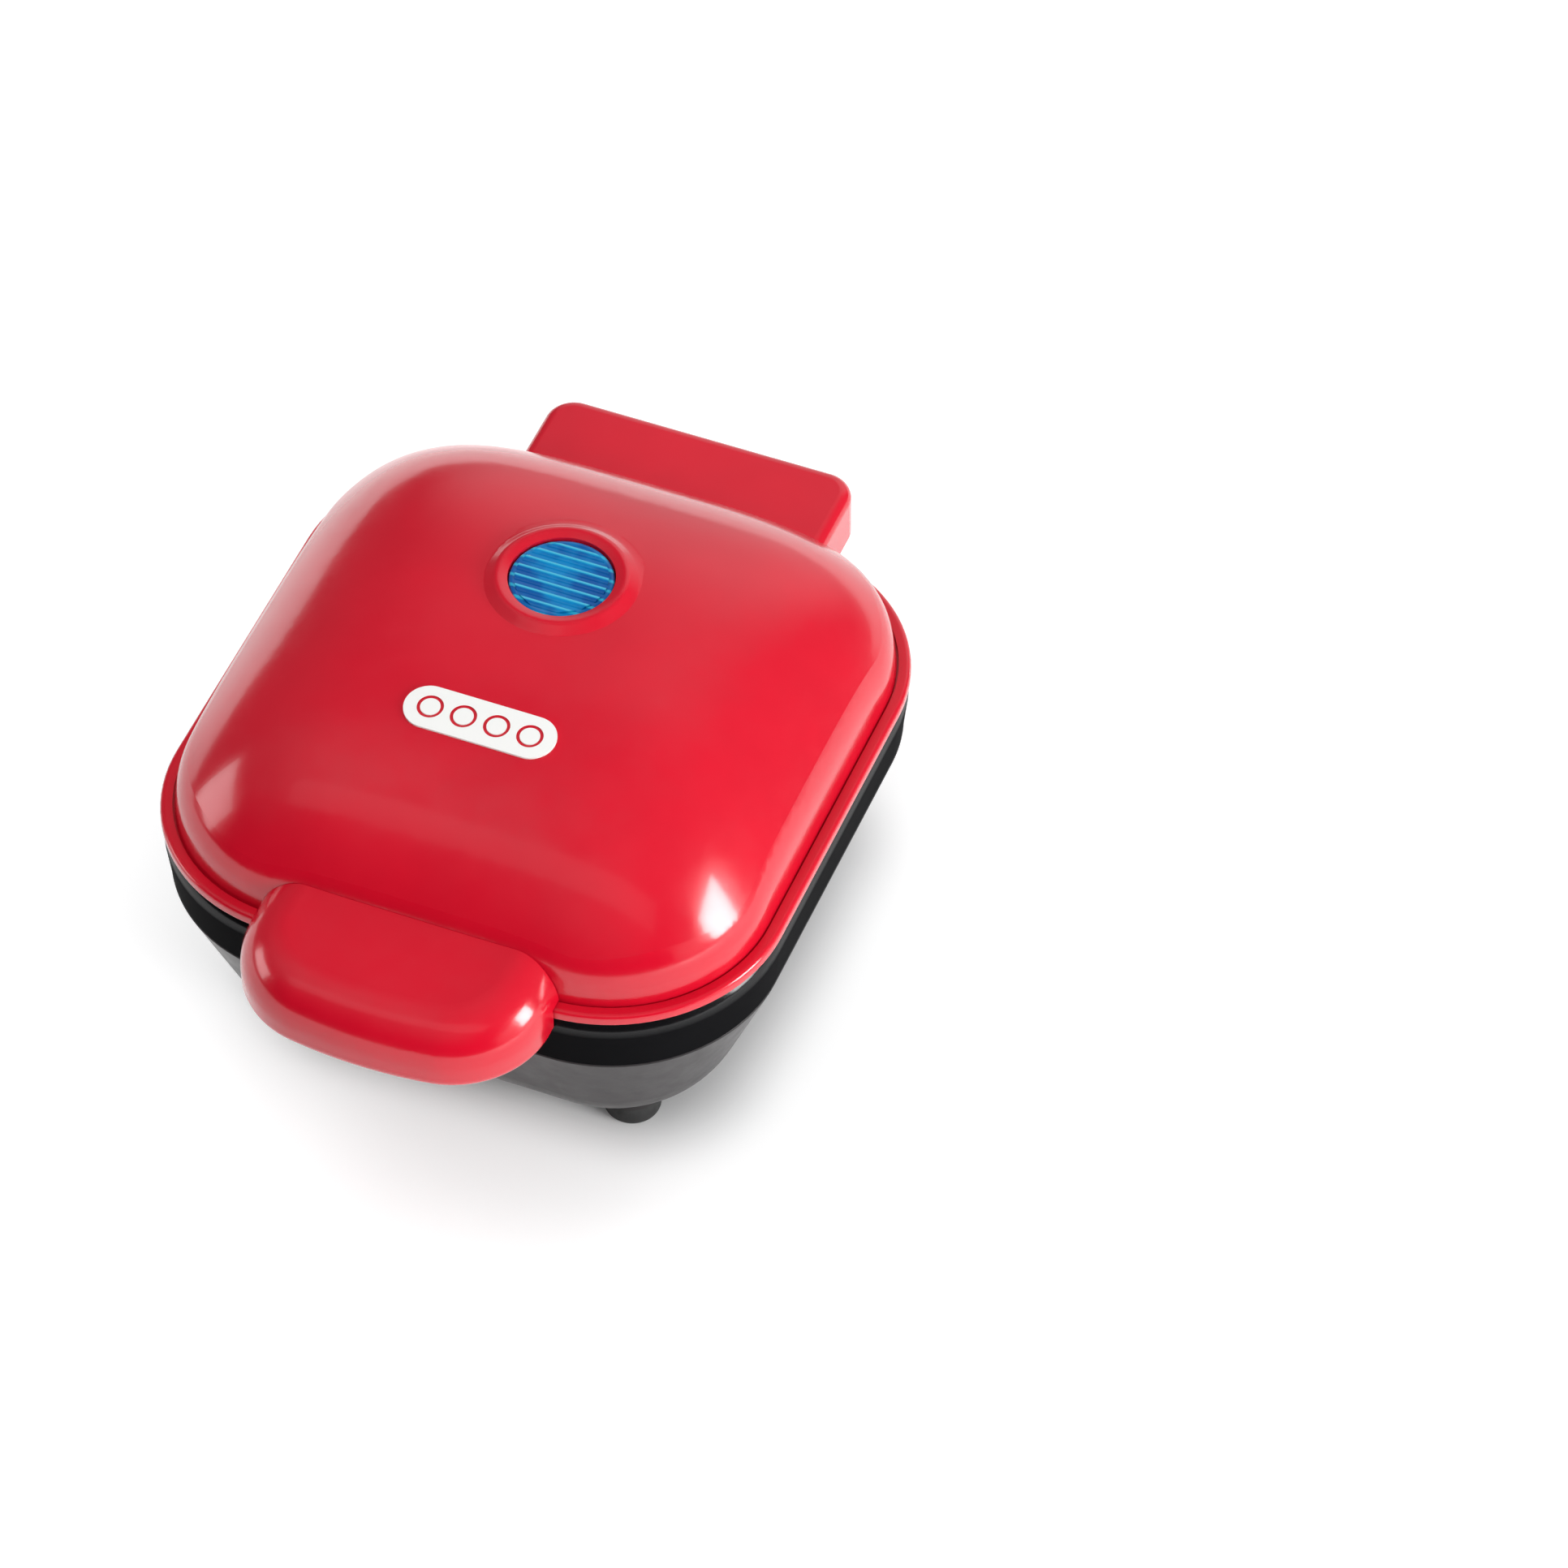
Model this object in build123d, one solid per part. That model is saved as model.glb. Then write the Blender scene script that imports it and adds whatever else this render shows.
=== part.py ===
from build123d import *
import math
import os

# Egg bite maker: a small countertop cooker with a hinged, domed lid over a heated water tray
# that holds four silicone cups.
# Frame: +X to the right, +Y to the back (the hinge), +Z up. The origin is on the table, midway
# between the handle's front and the hinge's back. All sizes are in millimetres. The parts are
# drawn about the lid's middle and moved into that frame when they are written.

# ---------------------------------------------------------------- driving dimensions
lid_width = 155.0          # across the lid's lip, along X
lid_length = 160.5         # across the lid's lip, along Y
corner_radius = 42.5       # of the lip's corners, seen from above
parting_height = 65.0      # underside of the closed lid above the table
parting_gap = 0.4          # free height between the closed lid and the base
handle_overhang = 27.25    # handle's front, in front of the lip
hinge_overhang = 26.25     # hinge's back, behind the lip

fit_gap = 0.25             # between parts that are assembled and stay put
running_gap = 0.05         # radial play of the hinge pin in its eyes
seat_gap = 0.05            # between parts that are stacked on each other
hole_gap = 0.15            # radius, of a hole that a screw, wire or neck passes through
loose_gap = 0.3            # radius, of a recess round a screw's head
thread_play = 0.03         # radius, of a screw in its own hole
screw_end_gap = 0.5        # between a screw's tip and the end of its hole
beyond = 1.0               # how far a cut runs past the face that it opens
far = 200.0                # well past the whole cooker

# lid frame: the rounded lip, the floor under the dome and the upstand that carries the screws
lip_height = 3.0
lip_width = 3.0
lip_round = 1.2
frame_floor = 2.0          # thickness under the dome's foot
frame_land = 7.6           # width of that floor
frame_wall = 7.4           # width of the upstand
frame_wall_height = 4.0
frame_wall_lift = 1.3      # the upstand's underside above the parting
frame_wall_gap = 0.6       # between the dome's foot and the upstand
tab_radius = 5.0

# dome
dome_setback = 3.4         # dome foot inside the lip's outline
dome_top = 38.6            # dome's highest point above the parting
dome_drop = 27.0           # how far the top falls from the middle to the sides
dome_wall = 2.2
dome_draft = 7.0           # degrees
shoulder_radius = 14.0     # between the top and the sides
skin_margin = 1.25         # how far the top's surface runs past the sides

# badge: a plain pill with four rings, one for each cup
badge_length = 38.0
badge_width = 12.0
badge_offset = 32.5        # in front of the lid's middle
badge_thickness = 0.5
badge_ring_radius = 3.2
badge_ring_line = 0.8
badge_ring_pitch = 8.4

# indicator light
lens_offset = 16.0         # lens centre behind the lid's middle
lens_radius = 12.6
lens_top_drop = 0.8        # lens face below the collar's crest
lens_thickness = 2.4
lens_skirt = 6.5
lens_skirt_wall = 1.3
lens_rib_pitch = 2.9
lens_rib_height = 0.5
lens_rib_width = 0.7
collar_rise = 1.9          # crest above the dome
collar_crest_radius = 15.6
collar_foot_radius = 20.5
lamp_tube_wall = 2.0
lamp_tube_depth = 9.0
socket_flange = 1.8
socket_stem = 3.0
socket_stem_wall = 1.6
socket_floor = 1.0
socket_web = 0.4           # of the cup's floor above the tube's end
lamp_gap = 0.1             # radius, round the lamp in its socket
lamp_radius = 2.9
lamp_length = 9.0
lamp_lead_radius = 0.9

# lid's inner plate
plate_sheet = 1.2
plate_setback = 8.0
plate_rim = 8.0
plate_recess = 13.0
plate_draft = 8.0          # degrees
plate_round = 2.4
plate_screw_spread = 22.0
plate_screw_cover = 0.6    # of the upstand above the plate screws' holes

# handle
handle_width = 76.0
handle_root_inset = 24.25  # how far inside the lip the blank starts
handle_top = 13.5          # above the parting
handle_drop = 5.0          # below the parting
handle_corner = 24.0
handle_bow = 120.0         # radius of the gently curved front
handle_slope = 4.0         # degrees the top falls towards the front
handle_top_round = 12.0
handle_bottom_round = 3.0
handle_wall = 2.4
handle_cover_thickness = 2.2
handle_cover_recess = 0.8
handle_tongue_width = 40.0
handle_tongue_reach = 17.0
handle_tongue_thickness = 3.0
handle_screw_pitch = 26.0
handle_rear_wall = 1.8     # handle's wall against the lip
handle_screw_depth = 5.5   # of the screw holes in the handle
handle_screw_reach = 10.0  # in front of the lip

# hinge
hinge_height = 59.5        # pin above the table
hinge_setback = 12.75      # pin behind the lip
hinge_width = 81.0         # red housing, along X
hinge_top = 3.2            # housing's top above the parting
hinge_bottom = 54.0        # housing's lower edge above the table
hinge_clearance = 2.5      # end walls behind the lip
hinge_corner = 7.5
hinge_edge_round = 3.0
hinge_wall = 2.2
pin_radius = 2.2
eye_radius = 5.3
lid_eye_thickness = 5.0
knuckle_width = 11.0
knuckle_offset = 20.0
plug_head = 1.2
lead_slot = 2.4            # width of the slot that the lamp's lead runs through
lead_end_gap = 6.0         # the lead's end in front of the pin

# base collar
collar_inset = 0.5         # collar's face inside the lip's outline
collar_bottom = 49.0
collar_draft = 6.0         # degrees
collar_wall = 2.2
collar_roof = 3.6
collar_round = 5.0
collar_ledge = 2.6
collar_inner_wall = 2.2

# base shell
shell_inset = 1.3
shell_wall = 2.4
shell_draft = 22.0         # degrees
shell_bottom = 7.0
shell_round = 26.0
shell_bead = 0.5
rib_wall = 1.4
rib_height = 4.0
vent_length = 22.0
vent_width = 2.6
vent_pitch = 7.0
vent_count = 5

# feet
foot_radius = 7.0
foot_inset_x = 34.5        # foot's middle inside the lip, at the sides
foot_inset_y = 32.75       # and at the ends
foot_round = 2.4
foot_neck_radius = 2.4
foot_head_radius = 3.8
foot_head_height = 2.0
foot_boss_height = 5.0
foot_head_rise = 3.0       # the shell curves up under the head

# water tray
tray_flange = 1.5
tray_flange_inset = 9.0
tray_wall = 2.5
tray_cavity_inset = 15.0
tray_draft = 3.0
tray_floor_height = 32.0   # cooking surface above the table
tray_floor = 3.0
tray_inner_round = 4.0
tray_screw_cover = 1.0     # below the tray's floor, above the screw holes
ring_height = 1.6
ring_wall = 1.2
ring_gap = 0.4

# silicone cups
cup_margin = 5.8           # between the cups' flanges and the tray's side walls
cup_end_margin = 7.25      # and its end walls
cup_middle_gap = 2.6       # between the flanges of two cups
cup_height = 31.0
cup_flange_width = 2.2
cup_taper = 3.7            # how far the wall draws in towards the bottom
cup_wall = 1.6
cup_tab_length = 4.0
cup_tab_width = 10.0
cup_round = 2.5

# heater, thermostat and wiring
element_ring_inset = 37.5  # ring's centre line inside the nearest side of the lip
element_radius = 3.3
element_opening = 24.0     # distance between the two cold ends
element_end_inset = 26.25  # the cold ends inside the rear lip
terminal_radius = 1.6
terminal_length = 8.0
clamp_sheet = 1.0
clamp_width = 9.0
clamp_foot = 4.0
clamp_turns = (0, 180, 235, 305)   # degrees round the ring, clear of the fuse
clamp_gap = 0.5            # on each side of the element, which curves under the strap
thermostat_radius = 8.5
thermostat_height = 6.0
thermostat_flange = 1.0
thermostat_flange_length = 24.0
thermostat_tab_offset = 3.5
thermostat_tab_length = 6.0
thermostat_tab_width = 4.0
thermostat_tab_sheet = 0.8
thermostat_tab_rise = 1.0  # above the thermostat's underside
fuse_radius = 2.6
fuse_length = 16.0
fuse_offset = 22.0
fuse_clip_width = 6.0
fuse_lead_length = 5.0
fuse_lead_radius = 0.6
shield_height = 17.0
shield_sheet = 0.8
shield_inset = 21.5
shield_lip = 4.0
shield_notch = 34.0        # width of the gap for the wires
shield_notch_depth = 12.0
boss_radius = 4.2
boss_inset = 27.5          # screw bosses inside the side of the lip
boss_y = 20.0
wire_radius = 0.9
wire_bend = 2.4
terminal_block_size = (24.0, 12.0, 6.4)
terminal_block_setback = 16.0   # in front of the element's cold ends

# cord gland
gland_height = 20.5
gland_bore = 3.6
gland_radius = 5.0
gland_flange_radius = 6.8
gland_flange = 1.6
gland_inner_lip = 0.8
gland_boss_radius = 7.6
gland_boss_stand = 3.0     # how far the boss stands out of the shell
gland_boss_depth = 12.0

# screws
screw_radius = 1.6
screw_head_radius = 3.0
screw_head_height = 2.0
small_screw_radius = 1.2
small_head_radius = 2.2
tab_thickness = 2.0        # of the frame under the cover's posts
lid_screw_depth = 7.5      # of the screw holes in the cover's posts

# ---------------------------------------------------------------- worked-out places
handle_reach = lid_length / 2 + handle_overhang
handle_root = lid_length / 2 - handle_root_inset
hinge_reach = lid_length / 2 + hinge_overhang
hinge_offset = lid_length / 2 + hinge_setback
lead_end = hinge_offset - lead_end_gap
foot_x = lid_width / 2 - foot_inset_x
foot_y = lid_length / 2 - foot_inset_y
boss_x = lid_width / 2 - boss_inset
shorter_half = min(lid_width, lid_length) / 2
element_ring_radius = shorter_half - element_ring_inset
element_end = lid_length / 2 - element_end_inset
terminal_block_offset = element_end - terminal_block_setback
cup_flange_radius = (shorter_half - tray_cavity_inset - cup_margin - cup_middle_gap / 2) / 2
cup_mouth_radius = cup_flange_radius - cup_flange_width
cup_bottom_radius = cup_mouth_radius - cup_taper
cup_x = lid_width / 2 - tray_cavity_inset - cup_margin - cup_flange_radius
cup_y = lid_length / 2 - tray_cavity_inset - cup_end_margin - cup_flange_radius
centre_shift = (handle_reach - hinge_reach) / 2
lid_bottom = parting_height
base_top = parting_height - parting_gap
dome_peak = lid_bottom + dome_top
dome_foot = lid_bottom + frame_floor + 0.05
dome_half_x = lid_width / 2 - dome_setback
dome_half_y = lid_length / 2 - dome_setback
lens_place = Pos(0, lens_offset, 0)
dome_at_lens = dome_peak - dome_drop * (lens_offset / dome_half_y) ** 4
crest_height = dome_at_lens + collar_rise
lens_face = crest_height - lens_top_drop
frame_wall_inset = dome_setback + dome_wall + frame_wall_gap
frame_wall_bottom = lid_bottom + frame_wall_lift
frame_wall_top = frame_wall_bottom + frame_wall_height
tray_underside = tray_floor_height - tray_floor
element_height = tray_underside - element_radius - 2 * seat_gap
cup_bottom = tray_floor_height + 0.2
cup_top = cup_bottom + cup_height
shell_floor = shell_bottom + shell_wall
shield_top = shield_height + shield_sheet
collar_foot_inset = collar_inset + (base_top - collar_round - collar_bottom) * math.tan(
    math.radians(collar_draft))
shell_side = shell_inset + (collar_bottom - gland_height) * math.tan(math.radians(shell_draft))
gland_boss_end = lid_length / 2 - shell_side + gland_boss_stand
gland_inner_face = gland_boss_end - gland_boss_depth
lid_screw_reach = corner_radius - frame_wall_inset - frame_wall / 2


# ---------------------------------------------------------------- helpers
def outline(inset):
    """Rounded rectangle that follows the lip, set in by inset."""
    radius = max(corner_radius - inset, 4.0)
    return RectangleRounded(lid_width - 2 * inset, lid_length - 2 * inset, radius)


def block(inset, low, high, taper=0.0):
    """The lip's outline, set in, from one height to another."""
    return extrude(Plane.XY.offset(low) * outline(inset), amount=high - low, taper=taper)


def ring(outer, inner, low, high):
    """A frame-shaped band between two insets and two heights."""
    return block(outer, low, high) - block(inner, low - beyond, high + beyond)


def rod(radius, low, high, x=0.0, y=0.0):
    """Upright round bar."""
    return Pos(x, y, (low + high) / 2) * Cylinder(radius, high - low)


def bar_x(radius, start, end, y, z):
    """Round bar along X."""
    return Pos((start + end) / 2, y, z) * Rot(0, 90, 0) * Cylinder(radius, end - start)


def bar_y(radius, start, end, x, z):
    """Round bar along Y."""
    return Pos(x, (start + end) / 2, z) * Rot(90, 0, 0) * Cylinder(radius, end - start)


def slab(x0, x1, y0, y1, z0, z1):
    """Plain box between two corners."""
    return Pos((x0 + x1) / 2, (y0 + y1) / 2, (z0 + z1) / 2) * Box(x1 - x0, y1 - y0, z1 - z0)


def four(x, y):
    """The four mirror places of a point."""
    return [(sx * x, sy * y) for sy in (-1, 1) for sx in (-1, 1)]


def funnel(inset, high, low, draft):
    """The lip's outline, set in at the height high and narrowing down to low."""
    facing_down = Plane(origin=(0, 0, high), z_dir=(0, 0, -1))
    return extrude(facing_down * outline(inset), amount=high - low, taper=draft)


def screw(x, y, head_bottom, tip, radius=screw_radius, head=screw_head_radius):
    """Pan-head screw driven upwards, with a cross recess in its head."""
    body = rod(head, head_bottom, head_bottom + screw_head_height, x, y)
    body = fillet(body.edges().group_by(Axis.Z)[0], 0.6)
    body += rod(radius, head_bottom + screw_head_height, tip, x, y)
    for turn in (0, 90):
        body -= Pos(x, y, head_bottom) * Rot(0, 0, turn) * Box(head * 1.1, 0.7, 1.6)
    return body


def wire(points, radius=wire_radius):
    """Round lead along straight runs joined by arcs."""
    path = FilletPolyline(*points, radius=wire_bend)
    start = Plane(origin=path @ 0, z_dir=path % 0)
    return sweep(start * Circle(radius), path=path)


def dome_skin(shrink):
    """The dome's top: a sheet that falls with the fourth power of the distance."""
    fall_x = dome_drop * ((dome_half_x - shrink) * skin_margin / dome_half_x) ** 4
    fall_y = dome_drop * ((dome_half_y - shrink) * skin_margin / dome_half_y) ** 4
    rows = []
    for i in range(5):
        x = (dome_half_x - shrink) * skin_margin * (i / 2 - 1)
        row = []
        for j in range(5):
            y = (dome_half_y - shrink) * skin_margin * (j / 2 - 1)
            height = dome_peak - shrink - fall_x * (-1) ** i - fall_y * (-1) ** j
            row.append(Vector(x, y, height))
        rows.append(row)
    return Face.make_bezier_surface(rows)


def dome_form(shrink):
    """Solid inside the dome's outer face, moved inwards by shrink."""
    body = block(dome_setback + shrink, dome_foot, dome_peak + beyond, taper=dome_draft)
    body -= extrude(dome_skin(shrink), amount=dome_peak, dir=(0, 0, 1))
    crest = body.faces().filter_by(GeomType.BEZIER)[0].outer_wire().edges()
    return fillet(crest, shoulder_radius - shrink)


def shell_form(shrink, top):
    """Solid inside the base shell's outer face, moved inwards by shrink."""
    body = funnel(shell_inset + shrink, collar_bottom, shell_bottom + shrink, shell_draft)
    body = fillet(body.faces().sort_by(Axis.Z)[0].edges(), shell_round - shrink)
    if top > collar_bottom:
        body += block(shell_inset + shrink, collar_bottom, top)
    return body


# ---------------------------------------------------------------- lid
def lid_screw_places():
    """Four places under the lid's corners, on the corner diagonals."""
    step = lid_screw_reach * math.sqrt(0.5)
    return four(lid_width / 2 - corner_radius + step, lid_length / 2 - corner_radius + step)


def make_lid_cover():
    """Red domed cover with the raised collar of the indicator light."""
    bore = lens_radius + fit_gap
    body = dome_form(0)
    body += indicator_collar()
    body -= dome_form(dome_wall) - lens_place * rod(collar_crest_radius, lens_face - 3, crest_height)
    body += lens_place * rod(bore + lamp_tube_wall, lens_face - lamp_tube_depth, lens_face - beyond)
    body -= lens_place * rod(bore, 0, dome_peak + far)
    posts = Part()
    for x, y in lid_screw_places():
        posts += rod(boss_radius, frame_wall_top + seat_gap, dome_peak, x, y)
    body += posts & dome_form(dome_wall / 2)
    for x, y in lid_screw_places():
        body -= rod(screw_radius, frame_wall_top - beyond, frame_wall_top + lid_screw_depth, x, y)
    return body


def indicator_collar():
    """Volcano-shaped ring that stands round the lens."""
    inner = lens_radius + fit_gap
    base = dome_at_lens - 2.5
    profile = Polyline((inner - beyond, base), (collar_foot_radius, base))
    slope = Spline((collar_foot_radius, dome_at_lens - 0.5),
                   (collar_crest_radius, crest_height),
                   (inner - beyond, crest_height - 1.2),
                   tangents=((-1, 0.05), (-1, -0.5)))
    edges = profile + slope
    edges += Line((collar_foot_radius, base), (collar_foot_radius, dome_at_lens - 0.5))
    edges += Line((inner - beyond, base), (inner - beyond, crest_height - 1.2))
    face = make_face(Plane.XZ * edges)
    return lens_place * revolve(face, Axis.Z)


def make_lid_frame():
    """Lip, floor, upstand, screw tabs, handle tongue and hinge housing in one moulding."""
    floor = ring(lip_width / 2, frame_land, lid_bottom, lid_bottom + frame_floor)
    lip = block(0, lid_bottom, lid_bottom + lip_height)
    lip = fillet(lip.edges().group_by(Axis.Z)[-1], lip_round)
    lip = fillet(lip.edges().group_by(Axis.Z)[0], lip_round / 2)
    lip -= block(lip_width, lid_bottom - beyond, lid_bottom + lip_height + beyond)
    body = lip + floor
    body += ring(frame_wall_inset, frame_wall_inset + frame_wall, frame_wall_bottom, frame_wall_top)
    seat = frame_wall_top - tab_thickness
    for x, y in lid_screw_places():
        body += rod(tab_radius, seat, frame_wall_top, x, y) & block(frame_wall_inset, 0, 200)
    body += hinge_housing()
    body += handle_tongue()
    for x, y in lid_screw_places():
        body -= rod(screw_radius + hole_gap, lid_bottom, frame_wall_top + beyond, x, y)
        body -= rod(screw_head_radius + loose_gap, lid_bottom - beyond, seat, x, y)
    for x, y in plate_screw_places():
        body -= rod(small_screw_radius, lid_bottom, frame_wall_top - plate_screw_cover, x, y)
    rear = lid_length / 2
    body -= slab(-lead_slot / 2, lead_slot / 2, rear - frame_wall_inset - frame_wall - beyond,
                 rear - frame_wall_inset + 0.2, lid_bottom + beyond, frame_wall_top + beyond)
    body -= slab(-lead_slot / 2, lead_slot / 2, rear - frame_wall_inset - frame_wall - beyond,
                 lead_end + fit_gap, lid_bottom - beyond, lid_bottom + lead_slot - 0.2)
    return body


def hinge_housing():
    """Red box behind the lid: roof, back, ends and the two pin eyes."""
    front = lid_length / 2 + hinge_clearance
    top = lid_bottom + hinge_top
    half = hinge_width / 2
    blank = slab(-half, half, front - 20, hinge_reach, hinge_bottom, top)
    corners = blank.edges().filter_by(Axis.Z).sort_by(Axis.Y)[-2:]
    blank = fillet(corners, hinge_corner)
    upper = blank.edges().group_by(Axis.Z)[-1].sort_by(Axis.Y)[1:]
    blank = fillet(upper, hinge_edge_round)
    inside = slab(-half + hinge_wall, half - hinge_wall, front - 30, hinge_reach - hinge_wall,
                  hinge_bottom - beyond, top - hinge_wall)
    inner_corners = inside.edges().filter_by(Axis.Z).sort_by(Axis.Y)[-2:]
    inside = fillet(inner_corners, hinge_corner - hinge_wall)
    shell = blank - inside
    shell -= slab(-half - beyond, half + beyond, 0, front, hinge_bottom - beyond, lid_bottom + 0.01)
    shell -= block(lip_width / 2, hinge_bottom, top + beyond)
    for side in (-1, 1):
        middle = side * (half - hinge_wall - lid_eye_thickness / 2)
        shell += pin_eye(middle, lid_eye_thickness, top - hinge_wall / 2)
    shell -= bar_x(pin_radius + running_gap, -half - beyond, half - hinge_wall, hinge_offset, hinge_height)
    return shell


def pin_eye(middle, thickness, top):
    """Upright plate with a round end about the pin, hanging from the housing's roof."""
    half = thickness / 2
    eye = bar_x(eye_radius, middle - half, middle + half, hinge_offset, hinge_height)
    eye += slab(middle - half, middle + half, hinge_offset - eye_radius, hinge_offset + eye_radius,
                hinge_height, top)
    return eye


def handle_tongue():
    """Flat tongue that the handle is screwed to."""
    front = -lid_length / 2 - handle_tongue_reach
    half = handle_tongue_width / 2
    low = lid_bottom + fit_gap
    tongue = slab(-half, half, front, -lid_length / 2 + lip_width / 2, low,
                  low + handle_tongue_thickness - 2 * fit_gap)
    for x, y in handle_screw_places():
        tongue -= rod(screw_radius + hole_gap, lid_bottom - beyond,
                      lid_bottom + handle_tongue_thickness + beyond, x, y)
    return tongue


def handle_screw_places():
    """Two places in front of the lip."""
    return [(side * handle_screw_pitch / 2, -lid_length / 2 - handle_screw_reach) for side in (-1, 1)]


def handle_blank(shrink, low, drop_round):
    """Handle's outer form, moved inwards by shrink, above the height low."""
    half = handle_width / 2 - shrink
    front = -handle_reach + shrink
    body = slab(-half, half, front, -handle_root, low, low + 40)
    body = body & rod(handle_bow, low - beyond, low + far, 0, front + handle_bow)
    corners = body.edges().filter_by(Axis.Z).sort_by(Axis.Y)[:2]
    body = fillet(corners, handle_corner - shrink)
    roof = Pos(0, -lid_length / 2, lid_bottom + handle_top - shrink) * Rot(handle_slope, 0, 0)
    body -= roof * Pos(0, 0, far / 2) * Box(far, far, far)
    upper = body.faces().sort_by(Axis.Z)[-1].edges().sort_by(Axis.Y)[:-1]
    body = fillet(upper, max(handle_top_round - shrink, 1.0))
    if drop_round:
        lower = body.faces().sort_by(Axis.Z)[0].edges().sort_by(Axis.Y)[:-1]
        body = fillet(lower, drop_round)
    return body


def lid_clearance():
    """Everything of the lid that the handle has to fit round."""
    solid = block(-fit_gap, lid_bottom - 30, lid_bottom + lip_height + fit_gap)
    return solid + dome_form(-fit_gap)


def make_handle():
    """Red grip: a rounded shell, open underneath."""
    low = lid_bottom - handle_drop
    body = handle_blank(0, low, handle_bottom_round)
    hollow = handle_blank(handle_wall, low - 5, 0)
    hollow -= slab(-far, far, -lid_length / 2 - handle_rear_wall, 0, 0, 200)
    body -= hollow
    body -= lid_clearance()
    slot = handle_tongue_width / 2 + fit_gap
    body -= slab(-slot, slot, -lid_length / 2 - handle_rear_wall - beyond, 0, lid_bottom,
                 lid_bottom + handle_tongue_thickness)
    seat = lid_bottom + handle_tongue_thickness
    for x, y in handle_screw_places():
        post = rod(boss_radius, seat, lid_bottom + handle_top, x, y)
        body += post & handle_blank(handle_wall / 2, low, 0)
        body -= rod(screw_radius, lid_bottom, seat + handle_screw_depth, x, y)
    return body


def make_handle_cover():
    """Plate that closes the handle from below, with two posts up to the tongue."""
    low = lid_bottom - handle_drop + handle_cover_recess
    rear = -lid_length / 2 - handle_rear_wall - fit_gap
    body = handle_blank(handle_wall + fit_gap, low, 0)
    body = body & slab(-far, far, -200, rear, low, low + handle_cover_thickness)
    for x, y in handle_screw_places():
        body += rod(boss_radius, low, lid_bottom + fit_gap - seat_gap, x, y)
        body -= rod(screw_radius + hole_gap, low - beyond, lid_bottom + beyond, x, y)
        body -= rod(screw_head_radius + loose_gap, low - beyond, low + screw_head_height + 0.2, x, y)
    return body


def make_handle_screws():
    """Two screws from below through the cover and the tongue into the handle."""
    low = lid_bottom - handle_drop + handle_cover_recess + 0.2
    tip = lid_bottom + handle_tongue_thickness + handle_screw_depth - screw_end_gap
    return [screw(x, y, low, tip, screw_radius - thread_play) for x, y in handle_screw_places()]


def make_indicator_lens():
    """Blue lens with parallel ribs, pressed into its tube."""
    body = rod(lens_radius, lens_face - lens_thickness, lens_face)
    body = fillet(body.edges().group_by(Axis.Z)[-1], 0.8)
    skirt = rod(lens_radius, lens_face - lens_skirt, lens_face - lens_thickness + 0.5)
    skirt -= rod(lens_radius - lens_skirt_wall, 0, lens_face - lens_thickness)
    body += skirt
    under = lens_face - lens_thickness
    count = int((lens_radius - lens_skirt_wall) / lens_rib_pitch)
    for step in range(-count, count + 1):
        rib = Pos(0, step * lens_rib_pitch, under) * Box(60, lens_rib_width, 2 * lens_rib_height)
        body += rib & rod(lens_radius - 0.5, under - 2, under + 0.5)
    return lens_place * body


def make_lamp_socket():
    """White cup that closes the lamp tube and holds the lamp."""
    top = lens_face - lens_skirt - fit_gap
    tube_end = lens_face - lamp_tube_depth
    bottom = tube_end - socket_flange
    body = rod(lens_radius, tube_end - seat_gap, top)
    body += rod(lens_radius + lamp_tube_wall, bottom, tube_end - seat_gap)
    body -= rod(lens_radius - lens_skirt_wall, tube_end + socket_web, top + beyond)
    body += rod(lamp_radius + socket_stem_wall, bottom - socket_stem, tube_end + socket_floor)
    body -= rod(lamp_radius + lamp_gap, bottom - socket_stem + socket_floor, top + beyond)
    return lens_place * body


def make_neon_lamp():
    """Small glass lamp with a domed tip."""
    bottom = lens_face - lamp_tube_depth - socket_flange - socket_stem + socket_floor + seat_gap
    body = rod(lamp_radius, bottom, bottom + lamp_length)
    body = fillet(body.edges().group_by(Axis.Z)[-1], lamp_radius * 0.8)
    return lens_place * body


def make_lamp_lead():
    """Lead from the lamp, along the cover's inside and out to the hinge."""
    start = lens_face - lamp_tube_depth - socket_flange - socket_stem - 2 * seat_gap
    drop = lid_length / 2 - frame_wall_inset - frame_wall - 1.5
    run = lid_bottom + lead_slot / 2 - 0.1
    points = [(0, lens_offset, start), (0, lens_offset, start - 5), (0, drop, start - 9), (0, drop, run),
              (0, lead_end, run)]
    return wire(points, lamp_lead_radius)


def badge_layer(low, high):
    """Pill-shaped piece of the layer between two heights above the dome's face."""
    pill = extrude(Plane.XY.offset(lid_bottom) * Pos(0, -badge_offset) * SlotOverall(
        badge_length, badge_width), amount=dome_top + 5)
    return (pill & dome_form(-high)) - dome_form(-low)


def make_badge():
    """Plain white pill on the dome, with four sunken rings."""
    body = badge_layer(seat_gap, badge_thickness)
    grooves = Part()
    for step in range(4):
        x = (step - 1.5) * badge_ring_pitch
        outer = rod(badge_ring_radius, lid_bottom, dome_peak + 5, x, -badge_offset)
        grooves += outer - rod(badge_ring_radius - badge_ring_line, 0, dome_peak + 6, x, -badge_offset)
    return body - (grooves - dome_form(-badge_thickness / 2))


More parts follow.
